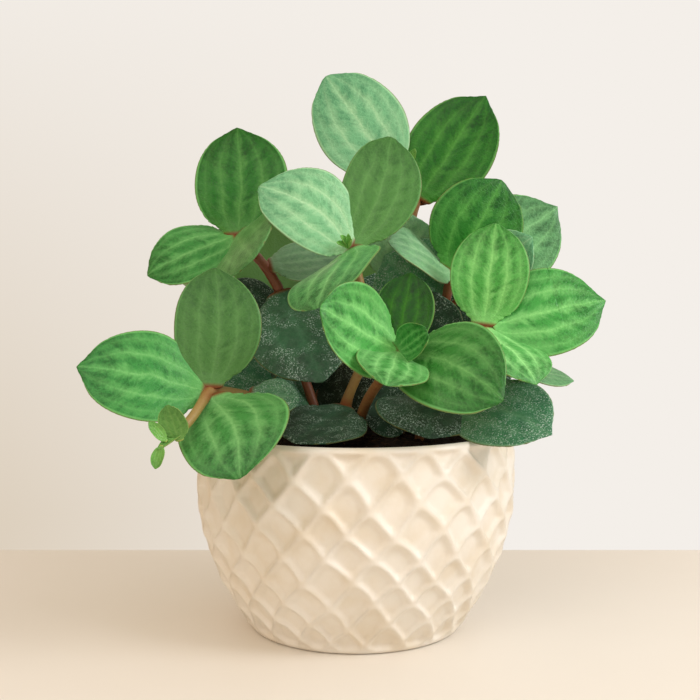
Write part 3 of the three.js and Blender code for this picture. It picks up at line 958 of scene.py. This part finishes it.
@dataclass
class LeafAxes:
    """Where a leaf lies: the foot of its petiole, and the directions along, across and up."""

    root: np.ndarray
    along: np.ndarray
    across: np.ndarray
    up: np.ndarray
    length: float

    PETIOLE_SPREAD: ClassVar[float] = 8.0  # mm, the end of a petiole spreads less than this

    @classmethod
    def measure(cls, mesh: bpy.types.Mesh, faces_back: bool) -> LeafAxes:
        """Find a leaf's axes from its solid: the flat end of the petiole is square to its length.

        Args:
            mesh: the solid's mesh, with its triangles joined up.
            faces_back: whether its upper side faces the back of the plant.

        Returns:
            The leaf's axes, in millimetres.
        """
        points, pairs = read_points(mesh), read_rows(mesh.edges, "vertices", 2)
        flattest, root, along = math.inf, points[0], points[0]
        for centre in np.flatnonzero(np.bincount(pairs.ravel()) == RING_CORNERS):
            around = points[np.unique(pairs[(pairs == centre).any(axis=1)])]
            _, sizes, turns = np.linalg.svd(around - around.mean(axis=0), full_matrices=False)
            if sizes[0] < cls.PETIOLE_SPREAD and sizes[2] < flattest:
                flattest, root, along = sizes[2], points[centre], turns[2]
        along = along if (points.mean(axis=0) - root) @ along > 0 else -along
        distance = (points - root) @ along
        widest, broad = 0.0, points[:2]
        for place in np.unique(distance.round(2)):
            ring = points[np.abs(distance - place) < RING_GAP]
            spread = np.linalg.norm(ring[:, None] - ring[None], axis=2)
            if spread.max() > widest:
                widest = float(spread.max())
                ends = np.unravel_index(np.argmax(spread), spread.shape)
                broad = [ring[np.argsort(spread[end])[:2]].mean(axis=0) for end in ends]
        across = broad[1] - broad[0]
        across -= across @ along * along
        across /= np.linalg.norm(across)
        up = np.cross(along, across)
        outward = np.array([0.0, 1.0 if faces_back else -1.0, 0.8])  # leaves look out and up
        if up @ outward < 0:
            up = -up
        return cls(root, along, np.cross(up, along), up, float(distance.max()))

    def local(self, points: np.ndarray) -> np.ndarray:
        """Return points as distances along, across and up from the foot."""
        return (points - self.root) @ np.column_stack((self.along, self.across, self.up))

    def world(self, local: np.ndarray) -> np.ndarray:
        """Turn distances along, across and up back into places."""
        return self.root + local @ np.array((self.along, self.across, self.up))


@dataclass
class LeafOutline:
    """A leaf's outline, read off its solid's rings: the middle and half width at each place."""

    places: np.ndarray
    middles: np.ndarray
    halves: np.ndarray
    ring_of: np.ndarray
    corner_of: np.ndarray

    EGG_SHAPE: ClassVar[float] = 0.97  # 1 is widest in the middle, less is widest nearer the stem
    ROUNDNESS: ClassVar[float] = 0.78  # below 1, both ends are fuller than the solid's
    PETIOLE_HALF: ClassVar[float] = 1.2  # mm, a petiole is narrower than this
    SHORT_PETIOLE: ClassVar[float] = 4.0  # mm, one up to this long is hidden by its blade
    # Where the corners of a ring lie across it, from and to, and their numbers below and above.
    CORNERS: ClassVar[tuple[tuple[float, float, int, int], ...]] = (
        (0.75, 2.0, 0, 1),
        (0.25, 0.75, 7, 2),
        (-0.75, -0.25, 6, 3),
        (-2.0, -0.75, 5, 4),
    )

    @classmethod
    def measure(cls, local: np.ndarray) -> LeafOutline:
        """Group a solid's points into rings and number the eight corners of each.

        Args:
            local: the points as distances along, across and up from the foot.

        Returns:
            The outline.
        """
        order = np.argsort(local[:, 0])
        ring_of, corner_of = np.zeros(len(local), int), np.full(len(local), -1)
        ring_of[order[1:]] = np.cumsum(np.diff(local[order, 0]) > RING_GAP)
        places, middles, halves = [], [], []
        for ring in range(ring_of.max() + 1):
            members = np.flatnonzero(ring_of == ring)
            y = local[members, 1]
            places.append(local[members, 0].mean())
            middles.append((y.max() + y.min()) / 2)
            halves.append((y.max() - y.min()) / 2)
            if len(members) < RING_CORNERS:
                continue
            share = (y - middles[-1]) / halves[-1]
            for low, high, under, over in cls.CORNERS:
                pair = members[(share > low) & (share < high)]
                pair = pair[np.argsort(local[pair, 2])]
                corner_of[pair[0]], corner_of[pair[-1]] = under, over
        return cls(np.array(places), np.array(middles), np.array(halves), ring_of, corner_of)

    @property
    def petiole(self) -> float:
        """Where the petiole ends and the blade begins."""
        return float(self.places[self.halves < self.PETIOLE_HALF][:-1].max(initial=0.0))

    @property
    def start(self) -> float:
        """Where the blade starts to widen: at the stem, unless the petiole is a long one."""
        return max(0.0, 1.5 * (self.petiole - self.SHORT_PETIOLE))

    def read(self, x: np.ndarray, length: float) -> tuple[np.ndarray, np.ndarray]:
        """Read a round-ended outline through the rings.

        Args:
            x: places along the leaf.
            length: the leaf's length.

        Returns:
            The middle and the half width at each place.
        """
        blade = self.places >= self.petiole
        measured = (self.places[blade] - self.petiole) / (length - self.petiole)
        turns = np.arccos(1 - 2 * np.clip(measured, 0, 1))
        share = np.clip((x - self.start) / (length - self.start), 0, 1) ** self.EGG_SHAPE
        at = np.arccos(1 - 2 * share)
        widest = self.halves.max()
        half = np.maximum(smooth_curve(turns, self.halves[blade], at), 0.02)
        middle = smooth_curve(turns, self.middles[blade], at)
        return middle, widest * (half / widest) ** self.ROUNDNESS

    def edges(self, mesh: bpy.types.Mesh) -> tuple[np.ndarray, np.ndarray]:
        """Sort the solid's edges by the corners that they join.

        Args:
            mesh: the solid's mesh.

        Returns:
            Which edges cut a facet slantwise, and which run across a broad side.
        """
        pairs = read_rows(mesh.edges, "vertices", 2)
        rings, corners = self.ring_of[pairs], np.sort(self.corner_of[pairs], axis=1)
        known = (corners >= 0).all(axis=1)
        same_ring = rings[:, 0] == rings[:, 1]
        at_rim = (corners == (0, 1)).all(axis=1) | (corners == (4, 5)).all(axis=1)
        return known & ~same_ring & (corners[:, 0] != corners[:, 1]), known & same_ring & ~at_rim


@dataclass(frozen=True)
class LeafLook:
    """How one leaf differs from the rest of its kind."""

    # Brightness is partly the leaf's own tone and partly painted light and shade.
    brightness: float = 1.0
    warmth: float = 0.0
    breadth: float = 1.0  # share of the solid's width
    point: float = 0.5  # mm, the little point at the tip
    richness: float = 1.0  # strength of colour
    cup: float = 0.0  # mm that its sides and tip curl up
    roll: float = 0.0  # degrees that it turns about its own length
    skin: OwnSkin | None = None


@dataclass
class FleshyLeaf:
    """One round leaf: smoothed from its solid, with sunk veins and a petiole grown onto its stem."""

    node: str
    slot: Slot
    look: LeafLook

    # Each vein's place across the half width, and its depth in mm.
    VEINS: ClassVar[tuple[tuple[float, float], ...]] = ((0.0, 0.24), (0.43, 0.13), (0.78, 0.07))
    VEIN_WIDTH: ClassVar[float] = 0.075  # share of the half width
    POINT_WIDTH: ClassVar[float] = 1.6  # mm
    TIP_CREASE: ClassVar[float] = 0.9
    # The height in mm and the frequency of the waves that curl the sides, tilt the blade and
    # ruffle its edge, for a leaf whose half width is WAVE_WIDTH.
    WAVES: ClassVar[tuple[tuple[float, float], ...]] = ((0.5, 7.5), (0.4, 5.0), (0.12, 11.0))
    WAVE_WIDTH: ClassVar[float] = 17.0  # mm
    NEAR_STEM: ClassVar[float] = 0.5  # mm, a petiole that starts further off is drawn out
    SINK: ClassVar[float] = 1.0  # mm that the foot goes into the stem
    FOOT_LENGTH: ClassVar[float] = 1.2  # mm over which the foot flares
    FLARE: ClassVar[float] = 0.3
    STALK_BLEND: ClassVar[float] = 0.9  # mm over which the stalk's colour gives way

    def build(self, frame: dict, material: bpy.types.Material) -> bpy.types.Object:
        """Make the leaf over its solid.

        Args:
            frame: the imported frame.
            material: the leaf's skin.

        Returns:
            The finished leaf.
        """
        stem = surface_of(frame["nodes"][self.node.replace("leaf_", "stem_").rsplit("_", 1)[0]])
        leaf = copy_node(frame["nodes"][self.node], self.node.replace("leaf_", "blade_"))
        axes = LeafAxes.measure(leaf.data, "_back" in self.node)
        outline = LeafOutline.measure(axes.local(read_points(leaf.data)))
        slanted, _ = outline.edges(leaf.data)
        edit_selected(leaf, slanted, ("dissolve_edges", {"use_verts": False}))
        _, broad = outline.edges(leaf.data)
        edit_selected(leaf, broad, ("subdivide", {"number_cuts": 1}))
        crease = leaf.data.attributes.new("crease_vert", "FLOAT", "POINT")
        tip = int(np.argmax(axes.local(read_points(leaf.data))[:, 0]))
        crease.data[tip].value = self.TIP_CREASE
        smooth_surface(leaf)
        self.shape(leaf.data, axes, outline, stem.find_nearest(axes.root)[3])
        finish_piece(leaf, material, self.slot.value, self.node)
        return leaf

    def shape(self, mesh: bpy.types.Mesh, axes: LeafAxes, outline: LeafOutline, reach: float) -> None:
        """Move the smoothed points: full outline, sunk veins, soft waves and a joint at the stem.

        Args:
            mesh: the smoothed leaf.
            axes: its axes.
            outline: its solid's outline.
            reach: how far the petiole's foot is from the stem.
        """
        look = self.look
        x, y, z = axes.local(read_points(mesh)).T
        upper = read_rows(mesh.vertex_normals, "vector").astype(float) @ axes.up
        middle, half = self.smoothed_outline(x, y)
        side = np.clip((y - middle) / half, -1, 1)
        blade = np.clip((x - outline.start) / (axes.length - outline.start), 0, 1)
        full_middle, full = outline.read(x, axes.length)
        y = full_middle + side * np.where(blade > 0, full * look.breadth, half)
        x = x + look.point * bell((y - full_middle) / self.POINT_WIDTH) * smoothstep(0.93, 1.0, blade)
        fade = smoothstep(0.0, 0.15, blade) * (1 - smoothstep(0.7, 1.0, blade))
        for place, depth in self.VEINS:
            groove = depth * fade * bell((np.abs(side) - place) / self.VEIN_WIDTH)
            z = z - np.where(upper > 0, groove, 0.6 * groove if place == 0 else 0)
        starts = np.random.default_rng(sum(map(ord, self.node))).uniform(0, FULL_TURN, 3)
        swing = smoothstep(0.05, 0.3, blade) * half / self.WAVE_WIDTH
        waves = zip(self.WAVES, starts)
        curl, tilt, ruffle = (swing * high * np.sin(often * blade + start) for (high, often), start in waves)
        y = y + ruffle * side
        z = z + curl * side**2 + tilt * side + look.cup * np.maximum(side**2, blade**3)
        drawn_out = max(reach - self.NEAR_STEM, 0)
        x = x - drawn_out * (1 - blade) ** 2
        foot = np.clip(1 - (x + drawn_out) / self.FOOT_LENGTH, 0, 1)
        x = x - (min(reach, self.NEAR_STEM) + self.SINK) * foot
        flare = 1 + self.FLARE * foot
        cosine, sine = math.cos(math.radians(look.roll)), math.sin(math.radians(look.roll))
        turned = (x, (y * cosine - z * sine) * flare, (y * sine + z * cosine) * flare)
        write_points(mesh, axes.world(np.column_stack(turned)))
        base = outline.start - drawn_out
        stalk = 1 - smoothstep(base - self.STALK_BLEND, base + self.STALK_BLEND, x)
        tone = (look.brightness, look.warmth, look.richness)
        store_attribute(mesh, "leaf_place", np.column_stack((blade, side, upper * 0.5 + 0.5)))
        store_attribute(mesh, "leaf_stalk", np.column_stack((stalk, stalk, stalk)))
        store_attribute(mesh, "leaf_tone", np.tile(tone, (len(x), 1)))

    @staticmethod
    def smoothed_outline(x: np.ndarray, y: np.ndarray, slices: int = 90) -> tuple[np.ndarray, np.ndarray]:
        """Measure the smoothed leaf in slices across its length.

        Args:
            x: each point's place along the leaf.
            y: its place across the leaf.
            slices: how many slices are measured.

        Returns:
            The middle and half width of the leaf at each point.
        """
        index = np.clip(((x - x.min()) / np.ptp(x) * slices).astype(int), 0, slices - 1)
        high, low = np.full(slices, -np.inf), np.full(slices, np.inf)
        np.maximum.at(high, index, y)
        np.minimum.at(low, index, y)
        filled = np.flatnonzero(np.isfinite(high))
        places = x.min() + (filled + 0.5) / slices * np.ptp(x)
        high, low = np.interp(x, places, high[filled]), np.interp(x, places, low[filled])
        return (high + low) / 2, np.maximum((high - low) / 2, 0.05)


# ---------------------------------------------------------------- stems and growing tips
@dataclass
class SucculentStem:
    """One bare stem, smoothed from its solid, swollen and reddened at its leaf joints."""

    node: str
    olive: float
    fullness: float = 0.16  # mm added all round, for what the smoothing takes away
    swelling: float = 0.25  # mm more at a joint
    joint_reach: float = 3.2  # mm

    def build(self, frame: dict, joints: list[np.ndarray], material: bpy.types.Material) -> bpy.types.Object:
        """Make the stem over its solid.

        Args:
            frame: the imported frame.
            joints: where its leaves' petioles start, in millimetres.
            material: the stem's skin.

        Returns:
            The finished stem.
        """
        stem = copy_node(frame["nodes"][self.node], self.node.replace("stem_", "stalk_"))
        edit_selected(stem, None, ("tris_convert_to_quads", {}))
        smooth_surface(stem)
        points = read_points(stem.data)
        normals = read_rows(stem.data.vertex_normals, "vector").astype(float)
        near = np.zeros(len(points))
        for joint in joints:
            near = np.maximum(near, bell(np.linalg.norm(points - joint, axis=1) / self.joint_reach))
        points += normals * (self.fullness + self.swelling * near)[:, None]
        write_points(stem.data, points)
        olive = np.full_like(near, self.olive)
        store_attribute(stem.data, "stem_place", np.column_stack((near, olive, near)))
        finish_piece(stem, material, Slot.STEM.value, self.node)
        return stem


@dataclass
class LeafCopy:
    """A leaf modelled on a finished one, with its own foot, tip, upper side, width and tone."""

    foot: Place
    tip: Place
    face: Place  # where its upper side looks
    width: float
    # Brightness is the leaf's own tone; for the inner leaves deep in the plant it is also painted shade.
    brightness: float = 1.0

    THICKENING: ClassVar[float] = 0.7  # a longer leaf is thicker by its length to this power

    def build(self, model: bpy.types.Object) -> bpy.types.Object:
        """Copy the model's mesh into this leaf's place.

        Args:
            model: a finished leaf.

        Returns:
            The new leaf, in the scene.
        """
        leaf = bpy.data.objects.new("leaf", model.data.copy())
        bpy.context.scene.collection.objects.link(leaf)
        points = read_points(leaf.data)
        blade, side, _ = read_rows(leaf.data.attributes["leaf_place"].data, "vector").T
        foot = points[blade < 0.001].mean(axis=0)
        along = points[np.argmax(blade)] - foot
        length = np.linalg.norm(along)
        along /= length
        middle = (blade > 0.4) & (blade < 0.6)
        rims = [points[middle & rim].mean(axis=0) for rim in (side > 0.9, side < -0.9)]
        across = rims[0] - rims[1]
        across -= across @ along * along
        width = np.linalg.norm(across)
        across /= width
        old = np.column_stack((along, across, np.cross(along, across)))
        new_along = np.subtract(self.tip, self.foot).astype(float)
        new_length = np.linalg.norm(new_along)
        new_along /= new_length
        up = np.asarray(self.face) - np.dot(self.face, new_along) * new_along
        up /= np.linalg.norm(up)
        new = np.array((new_along, np.cross(up, new_along), up))
        longer = new_length / length
        scale = np.array((longer, self.width / width, longer**self.THICKENING))
        write_points(leaf.data, np.asarray(self.foot) + ((points - foot) @ old * scale) @ new)
        kept = leaf.data.attributes["leaf_tone"].data
        tone = read_rows(kept, "vector")
        tone[:, 0] = self.brightness
        kept.foreach_set("vector", tone.ravel())
        return leaf


@dataclass
class GrowingTip:
    """Small unfolding leaves at the end of a stem."""

    node: str
    leaves: tuple[LeafCopy, ...]

    def build(self, model: bpy.types.Object, material: bpy.types.Material) -> bpy.types.Object:
        """Make the small leaves on the pattern of a finished one and join them.

        Args:
            model: a finished leaf.
            material: the skin of leaves that unfold.

        Returns:
            The finished growing tip.
        """
        pieces = [leaf.build(model) for leaf in self.leaves]
        tip = join_pieces(pieces, self.node.replace("tip_leaves", "unfolding_leaves"))
        tip.data.materials.clear()
        finish_piece(tip, material, Slot.PALE.value, self.node)
        return tip


CENTRE_BUD = (-2.5, -22, 143)
TOP_BUD = (21, 11.5, 175.5)
TIPS = (
    GrowingTip(
        "tip_leaves_left_low",
        (
            LeafCopy((-56.5, -71, 80.5), (-60, -74.5, 92.5), (-0.2, -0.95, 0.25), 9.2, 0.8),
            LeafCopy((-54.5, -70, 84), (-63.5, -73.5, 78), (0.1, -0.5, 0.85), 2.8, 1.1),
            LeafCopy((-62, -73, 79.5), (-64, -74.5, 72), (-0.3, -0.9, 0.3), 4.4, 1.1),
            LeafCopy((-60.5, -72.5, 80.5), (-66, -74, 87), (0.2, -0.9, 0.4), 3.8, 1.15),
        ),
    ),
    GrowingTip(
        "tip_leaves_centre",
        (
            LeafCopy(CENTRE_BUD, (-5.5, -26, 147.5), (0.3, -0.8, 0.5), 2.4, 1.5),
            LeafCopy(CENTRE_BUD, (-2.8, -26, 148), (0, -0.8, 0.5), 2.0, 1.5),
            LeafCopy(CENTRE_BUD, (-7, -25.5, 145), (0.2, -0.8, 0.6), 2.2, 1.5),
            LeafCopy(CENTRE_BUD, (-1.5, -26, 146), (-0.3, -0.6, 0.7), 2.0, 1.5),
        ),
    ),
    GrowingTip(
        "tip_leaves_top",
        (
            LeafCopy(TOP_BUD, (22.8, 8.5, 181.5), (-0.3, -0.9, 0.3), 3.0, 1.2),
            LeafCopy(TOP_BUD, (18.5, 8.5, 179.5), (0.3, -0.8, 0.5), 2.4, 1.2),
        ),
    ),
)

# Old leaves deep in the plant, each with its foot in the stem that carries it; their darkness, deeper further
# in, is painted shade.
INNER_LEAVES = (
    LeafCopy((28, -10, 89), (25, -42, 77), (0.05, -0.35, 0.93), 38, 1.0),
    LeafCopy((30, -10, 88), (60, 10, 91), (-0.1, -0.8, 0.6), 34, 1.0),
    LeafCopy((-16, 21, 83), (14, 8, 91), (0, -0.8, 0.6), 36, 0.3),
    LeafCopy((-15, 4, 82), (-53, -5, 97), (0, -0.7, 0.7), 36, 0.8),
    LeafCopy((-24, 5.5, 108), (-52, 20, 101), (0, -0.85, 0.5), 36, 0.8),
    LeafCopy((34, 2, 122), (11, 11, 141), (0, -1, 0.2), 34, 1.3),
    LeafCopy((-18, 24, 84), (-17, 30, 118), (0, -1, 0.2), 36, 0.3),
    LeafCopy((2, 41, 92), (8, 36, 134), (0, -1, 0.1), 38, 0.7),
    LeafCopy((37, 35, 98), (50, 30, 132), (0, -1, 0.2), 30, 0.8),
    LeafCopy((2, 36, 88), (32, 28, 97), (0, -0.8, 0.6), 38, 0.6),
    LeafCopy((28, 27, 86), (62, 12, 96), (0, -0.8, 0.6), 34, 0.8),
    LeafCopy((-19, 25, 86), (-50, 12, 93), (0, -0.8, 0.6), 36, 0.5),
)


@dataclass
class Plant:
    """All shoots: stems, leaves and growing tips."""

    tip_model: str = "blade_front_1"
    inner_models: tuple[str, str] = ("blade_left_high_4", "blade_right_5")
    plain_olive: float = 0.3

    # How olive each stem is, from 0 for red-brown to 1, where it isn't plain_olive.
    OLIVE: ClassVar[dict[str, float]] = {
        "left_low": 0.9,
        "centre": 0.7,
        "front": 0.35,
        "top": 0.45,
        "left_high": 0.05,
    }
    # Each leaf's brightness joins its own tone with painted light and shade: leaves lying in shade are
    # painted darker, some lit ones lighter.
    LOOKS: ClassVar[dict[str, LeafLook]] = {
        "leaf_left_low_1": LeafLook(0.88, -0.1, point=0.9),
        "leaf_left_low_2": LeafLook(0.95, 0.5, 0.97, point=0.0, skin=OwnSkin.OLIVE),
        "leaf_left_low_3": LeafLook(0.8, 0.2, point=0.3, richness=0.97),
        "leaf_left_low_4": LeafLook(skin=OwnSkin.WEATHERED),
        "leaf_left_high_1": LeafLook(0.47, 0.3, 1.02, point=0.6, richness=1.14),
        "leaf_left_high_2": LeafLook(0.8, 0.0, 1.03, point=0.4),
        "leaf_left_high_3": LeafLook(1.55, 0.2, 1.15, point=0.0, richness=0.9, skin=OwnSkin.OLIVE),
        "leaf_left_high_4": LeafLook(1.6, 0.3),
        "leaf_centre_1": LeafLook(1.0, 0.2, point=0.3, richness=0.95),
        "leaf_centre_2": LeafLook(1.14, 0.4, point=0.0, skin=OwnSkin.OLIVE),
        "leaf_centre_3": LeafLook(1.08, -0.2, point=0.0, richness=0.9),
        "leaf_top_1": LeafLook(0.92, point=0.0),
        "leaf_top_2": LeafLook(0.79, point=1.1, richness=1.1),
        "leaf_top_4": LeafLook(2.3),
        "leaf_front_1": LeafLook(1.14, 0.25, point=0.0),
        "leaf_front_2": LeafLook(0.47, 0.1, point=0.4, richness=1.28),
        "leaf_front_3": LeafLook(1.17, 0.3, point=0.3, richness=0.93),
        "leaf_front_4": LeafLook(0.62, 0.3, point=0.4, richness=1.04),
        "leaf_front_5": LeafLook(0.8, 0.0, 1.4, point=0.0, cup=2.2, roll=40.0),
        "leaf_right_1": LeafLook(1.12, 0.4, 0.97, point=0.0, richness=1.02),
        "leaf_right_2": LeafLook(1.1, 0.1, point=1.2),
        "leaf_right_3": LeafLook(1.35, 0.3, point=0.8, richness=0.93),
        "leaf_right_4": LeafLook(skin=OwnSkin.BLEACHED),
        "leaf_right_5": LeafLook(0.95, -0.2, point=1.4, richness=1.1, skin=OwnSkin.WEATHERED),
        "leaf_right_high_1": LeafLook(1.04, -0.1, point=0.3, richness=1.04),
        "leaf_right_high_2": LeafLook(1.7, 0.1, point=0.3),
        "leaf_right_high_3": LeafLook(1.08, -0.3, point=1.2, richness=0.8),
    }

    def build(self, frame: dict, materials: Materials) -> None:
        """Make every piece of the plant over its solid, and the inner leaves besides.

        Args:
            frame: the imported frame.
            materials: the material of each slot and each skin.
        """
        for part in frame["record"]["subparts"]:
            node, slot = part["node"], Slot(part["material_slot"])
            if node.startswith("leaf_"):
                look = self.LOOKS.get(node, LeafLook())
                FleshyLeaf(node, slot, look).build(frame, materials[look.skin or slot])
            elif node.startswith("stem_"):
                shoot = node.removeprefix("stem_")
                stem = SucculentStem(node, self.OLIVE.get(shoot, self.plain_olive))
                stem.build(frame, self.joints(frame, shoot), materials[Slot.STEM])
        for tip in TIPS:
            tip.build(bpy.data.objects[self.tip_model], materials[OwnSkin.UNFOLDING])
        models = [bpy.data.objects[name] for name in self.inner_models]
        for number, leaf in enumerate(INNER_LEAVES):
            piece = leaf.build(models[number % 2])
            piece.name = piece.data.name = f"inner_blade_{number + 1}"
            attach(piece, "root")
            LOG.info("%s: %d faces", piece.name, len(piece.data.polygons))

    @staticmethod
    def joints(frame: dict, shoot: str) -> list[np.ndarray]:
        """Find where each leaf of a shoot meets its stem.

        Args:
            frame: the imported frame.
            shoot: the shoot's name.

        Returns:
            The place of each joint, in millimetres.
        """
        stem = surface_of(frame["nodes"][f"stem_{shoot}"])
        found = []
        for name, node in frame["nodes"].items():
            if name.startswith(f"leaf_{shoot}_") and name.removeprefix(f"leaf_{shoot}_").isdigit():
                points = node_points(node)
                reach = [stem.find_nearest(point)[3] for point in points]
                found.append(points[int(np.argmin(reach))])
        return found


# ---------------------------------------------------------------- studio
@dataclass(frozen=True)
class SoftBox:
    """A square lamp with a soft front that faces the plant. Lengths are in metres."""

    name: str
    place: Place
    size: float
    watts: float
    tint: str

    AIM: ClassVar[Place] = (0, 0, 0.08)

    def hang(self) -> None:
        """Hang the lamp in its place."""
        lamp = bpy.data.lights.new(self.name, "AREA")
        lamp.shape, lamp.size, lamp.energy = "SQUARE", self.size, self.watts
        lamp.color = linear(self.tint)[:3]
        holder = bpy.data.objects.new(self.name, lamp)
        holder.location = self.place
        aim = Vector(self.AIM) - Vector(self.place)
        holder.rotation_euler = aim.to_track_quat("-Z", "Y").to_euler()
        bpy.context.scene.collection.objects.link(holder)


@dataclass
class Studio:
    """The pale table, the soft light and the camera. Lengths are in metres."""

    table_size: tuple[float, float] = (3.0, 1.6)
    table_back: float = 0.116
    table_paint: str = "#ebe5dc"
    table_cloud: str = "#e8e2d8"
    table_roughness: float = 0.5
    wall: str = "#f4efe9"
    wall_shade: str = "#ddd0be"  # painted shade on the backdrop, low at the left
    light_left: str = "#e5c9a6"
    light_right: str = "#ece9e4"
    light_strength: float = 0.94
    camera_place: Place = (-0.00216, -0.44136, 0.1345)
    tilt: float = 0.067  # radians below level
    lens: float = 60.0
    lamps: tuple[SoftBox, ...] = (
        SoftBox("key_softbox", (0.62, -0.34, 0.52), 0.36, 3.5, "#fdfdff"),
        SoftBox("fill_softbox", (-0.35, -0.8, 0.75), 0.8, 3.2, "#fffdfc"),
    )

    def build(self) -> None:
        """Set the table, the backdrop light, the lamps and the camera."""
        self.set_table()
        self.set_world()
        for lamp in self.lamps:
            lamp.hang()
        self.set_camera()

    def set_table(self) -> None:
        """Lay the table top, whose far edge shows behind the pot: satin paint, faintly clouded."""
        bpy.ops.mesh.primitive_plane_add(size=1)
        table = bpy.context.object
        table.name = table.data.name = "table_top"
        length, depth = self.table_size
        middle = Matrix.Translation((0, self.table_back - depth / 2, 0))
        table.data.transform(middle @ Matrix.Diagonal((length, depth, 1, 1)))
        paint = Finish("painted_table_top")
        cloud = paint.pattern("TexNoise", 60.0, Detail=3)
        colour = paint.coats(self.table_paint, (cloud, self.table_cloud))
        look = {"Base Color": colour, "Roughness": self.table_roughness}
        table.data.materials.append(paint.complete(look))

    def set_world(self) -> None:
        """Set a pale backdrop for the camera, with painted shade low at the left, and soft light from all
        round for the plant.
        """
        world = bpy.data.worlds.new("pale_studio")
        bpy.context.scene.world = world
        world.use_nodes = True
        tree = world.node_tree
        direction = add_node(tree, "TexCoord", output="Generated")
        x, _, z = add_node(tree, "SeparateXYZ", (direction,)).node.outputs
        leftness = add_node(tree, "MapRange", (x, 0.12, -0.28))
        lowness = add_node(tree, "MapRange", (z, 0.28, -0.2))
        shade = add_node(tree, "MULTIPLY", (leftness, lowness))
        from_left = add_node(tree, "MapRange", (x, -0.8, 0.8))
        colours = (
            (from_left, self.light_left, self.light_right, self.light_strength),
            (shade, self.wall, self.wall_shade, 1.0),
        )
        glows = []
        for share, first, second, strength in colours:
            colour = add_node(tree, "Mix", {0: share, 6: first, 7: second}, 2, data_type="RGBA")
            glows.append(add_node(tree, "Background", (colour, strength)))
        seen = add_node(tree, "LightPath", output="Is Camera Ray")
        set_inputs(tree.nodes["World Output"], (add_node(tree, "MixShader", (seen, *glows)),))

    def set_camera(self) -> None:
        """Stand the camera where the photograph was taken from."""
        camera = bpy.data.cameras.new("camera")
        camera.lens = self.lens
        holder = bpy.data.objects.new("camera", camera)
        holder.location = self.camera_place
        holder.rotation_euler = (math.pi / 2 - self.tilt, 0, 0)
        bpy.context.scene.collection.objects.link(holder)
        bpy.context.scene.camera = holder
        bpy.context.scene.view_settings.view_transform = "Standard"


def main() -> None:
    """Build the potted peperomia round its frame, in order."""
    logging.basicConfig(level=logging.INFO, format="%(name)s: %(message)s")
    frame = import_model()
    Studio().build()
    NetPot().build(MattGlaze().build())
    SoilBed().build(PottingSoil().build())
    materials = {slot: skin.build() for slot, skin in LEAF_SKINS.items()}
    materials[Slot.STEM] = StemSkin().build()
    Plant().build(frame, materials)


if __name__ == "__main__":
    main()
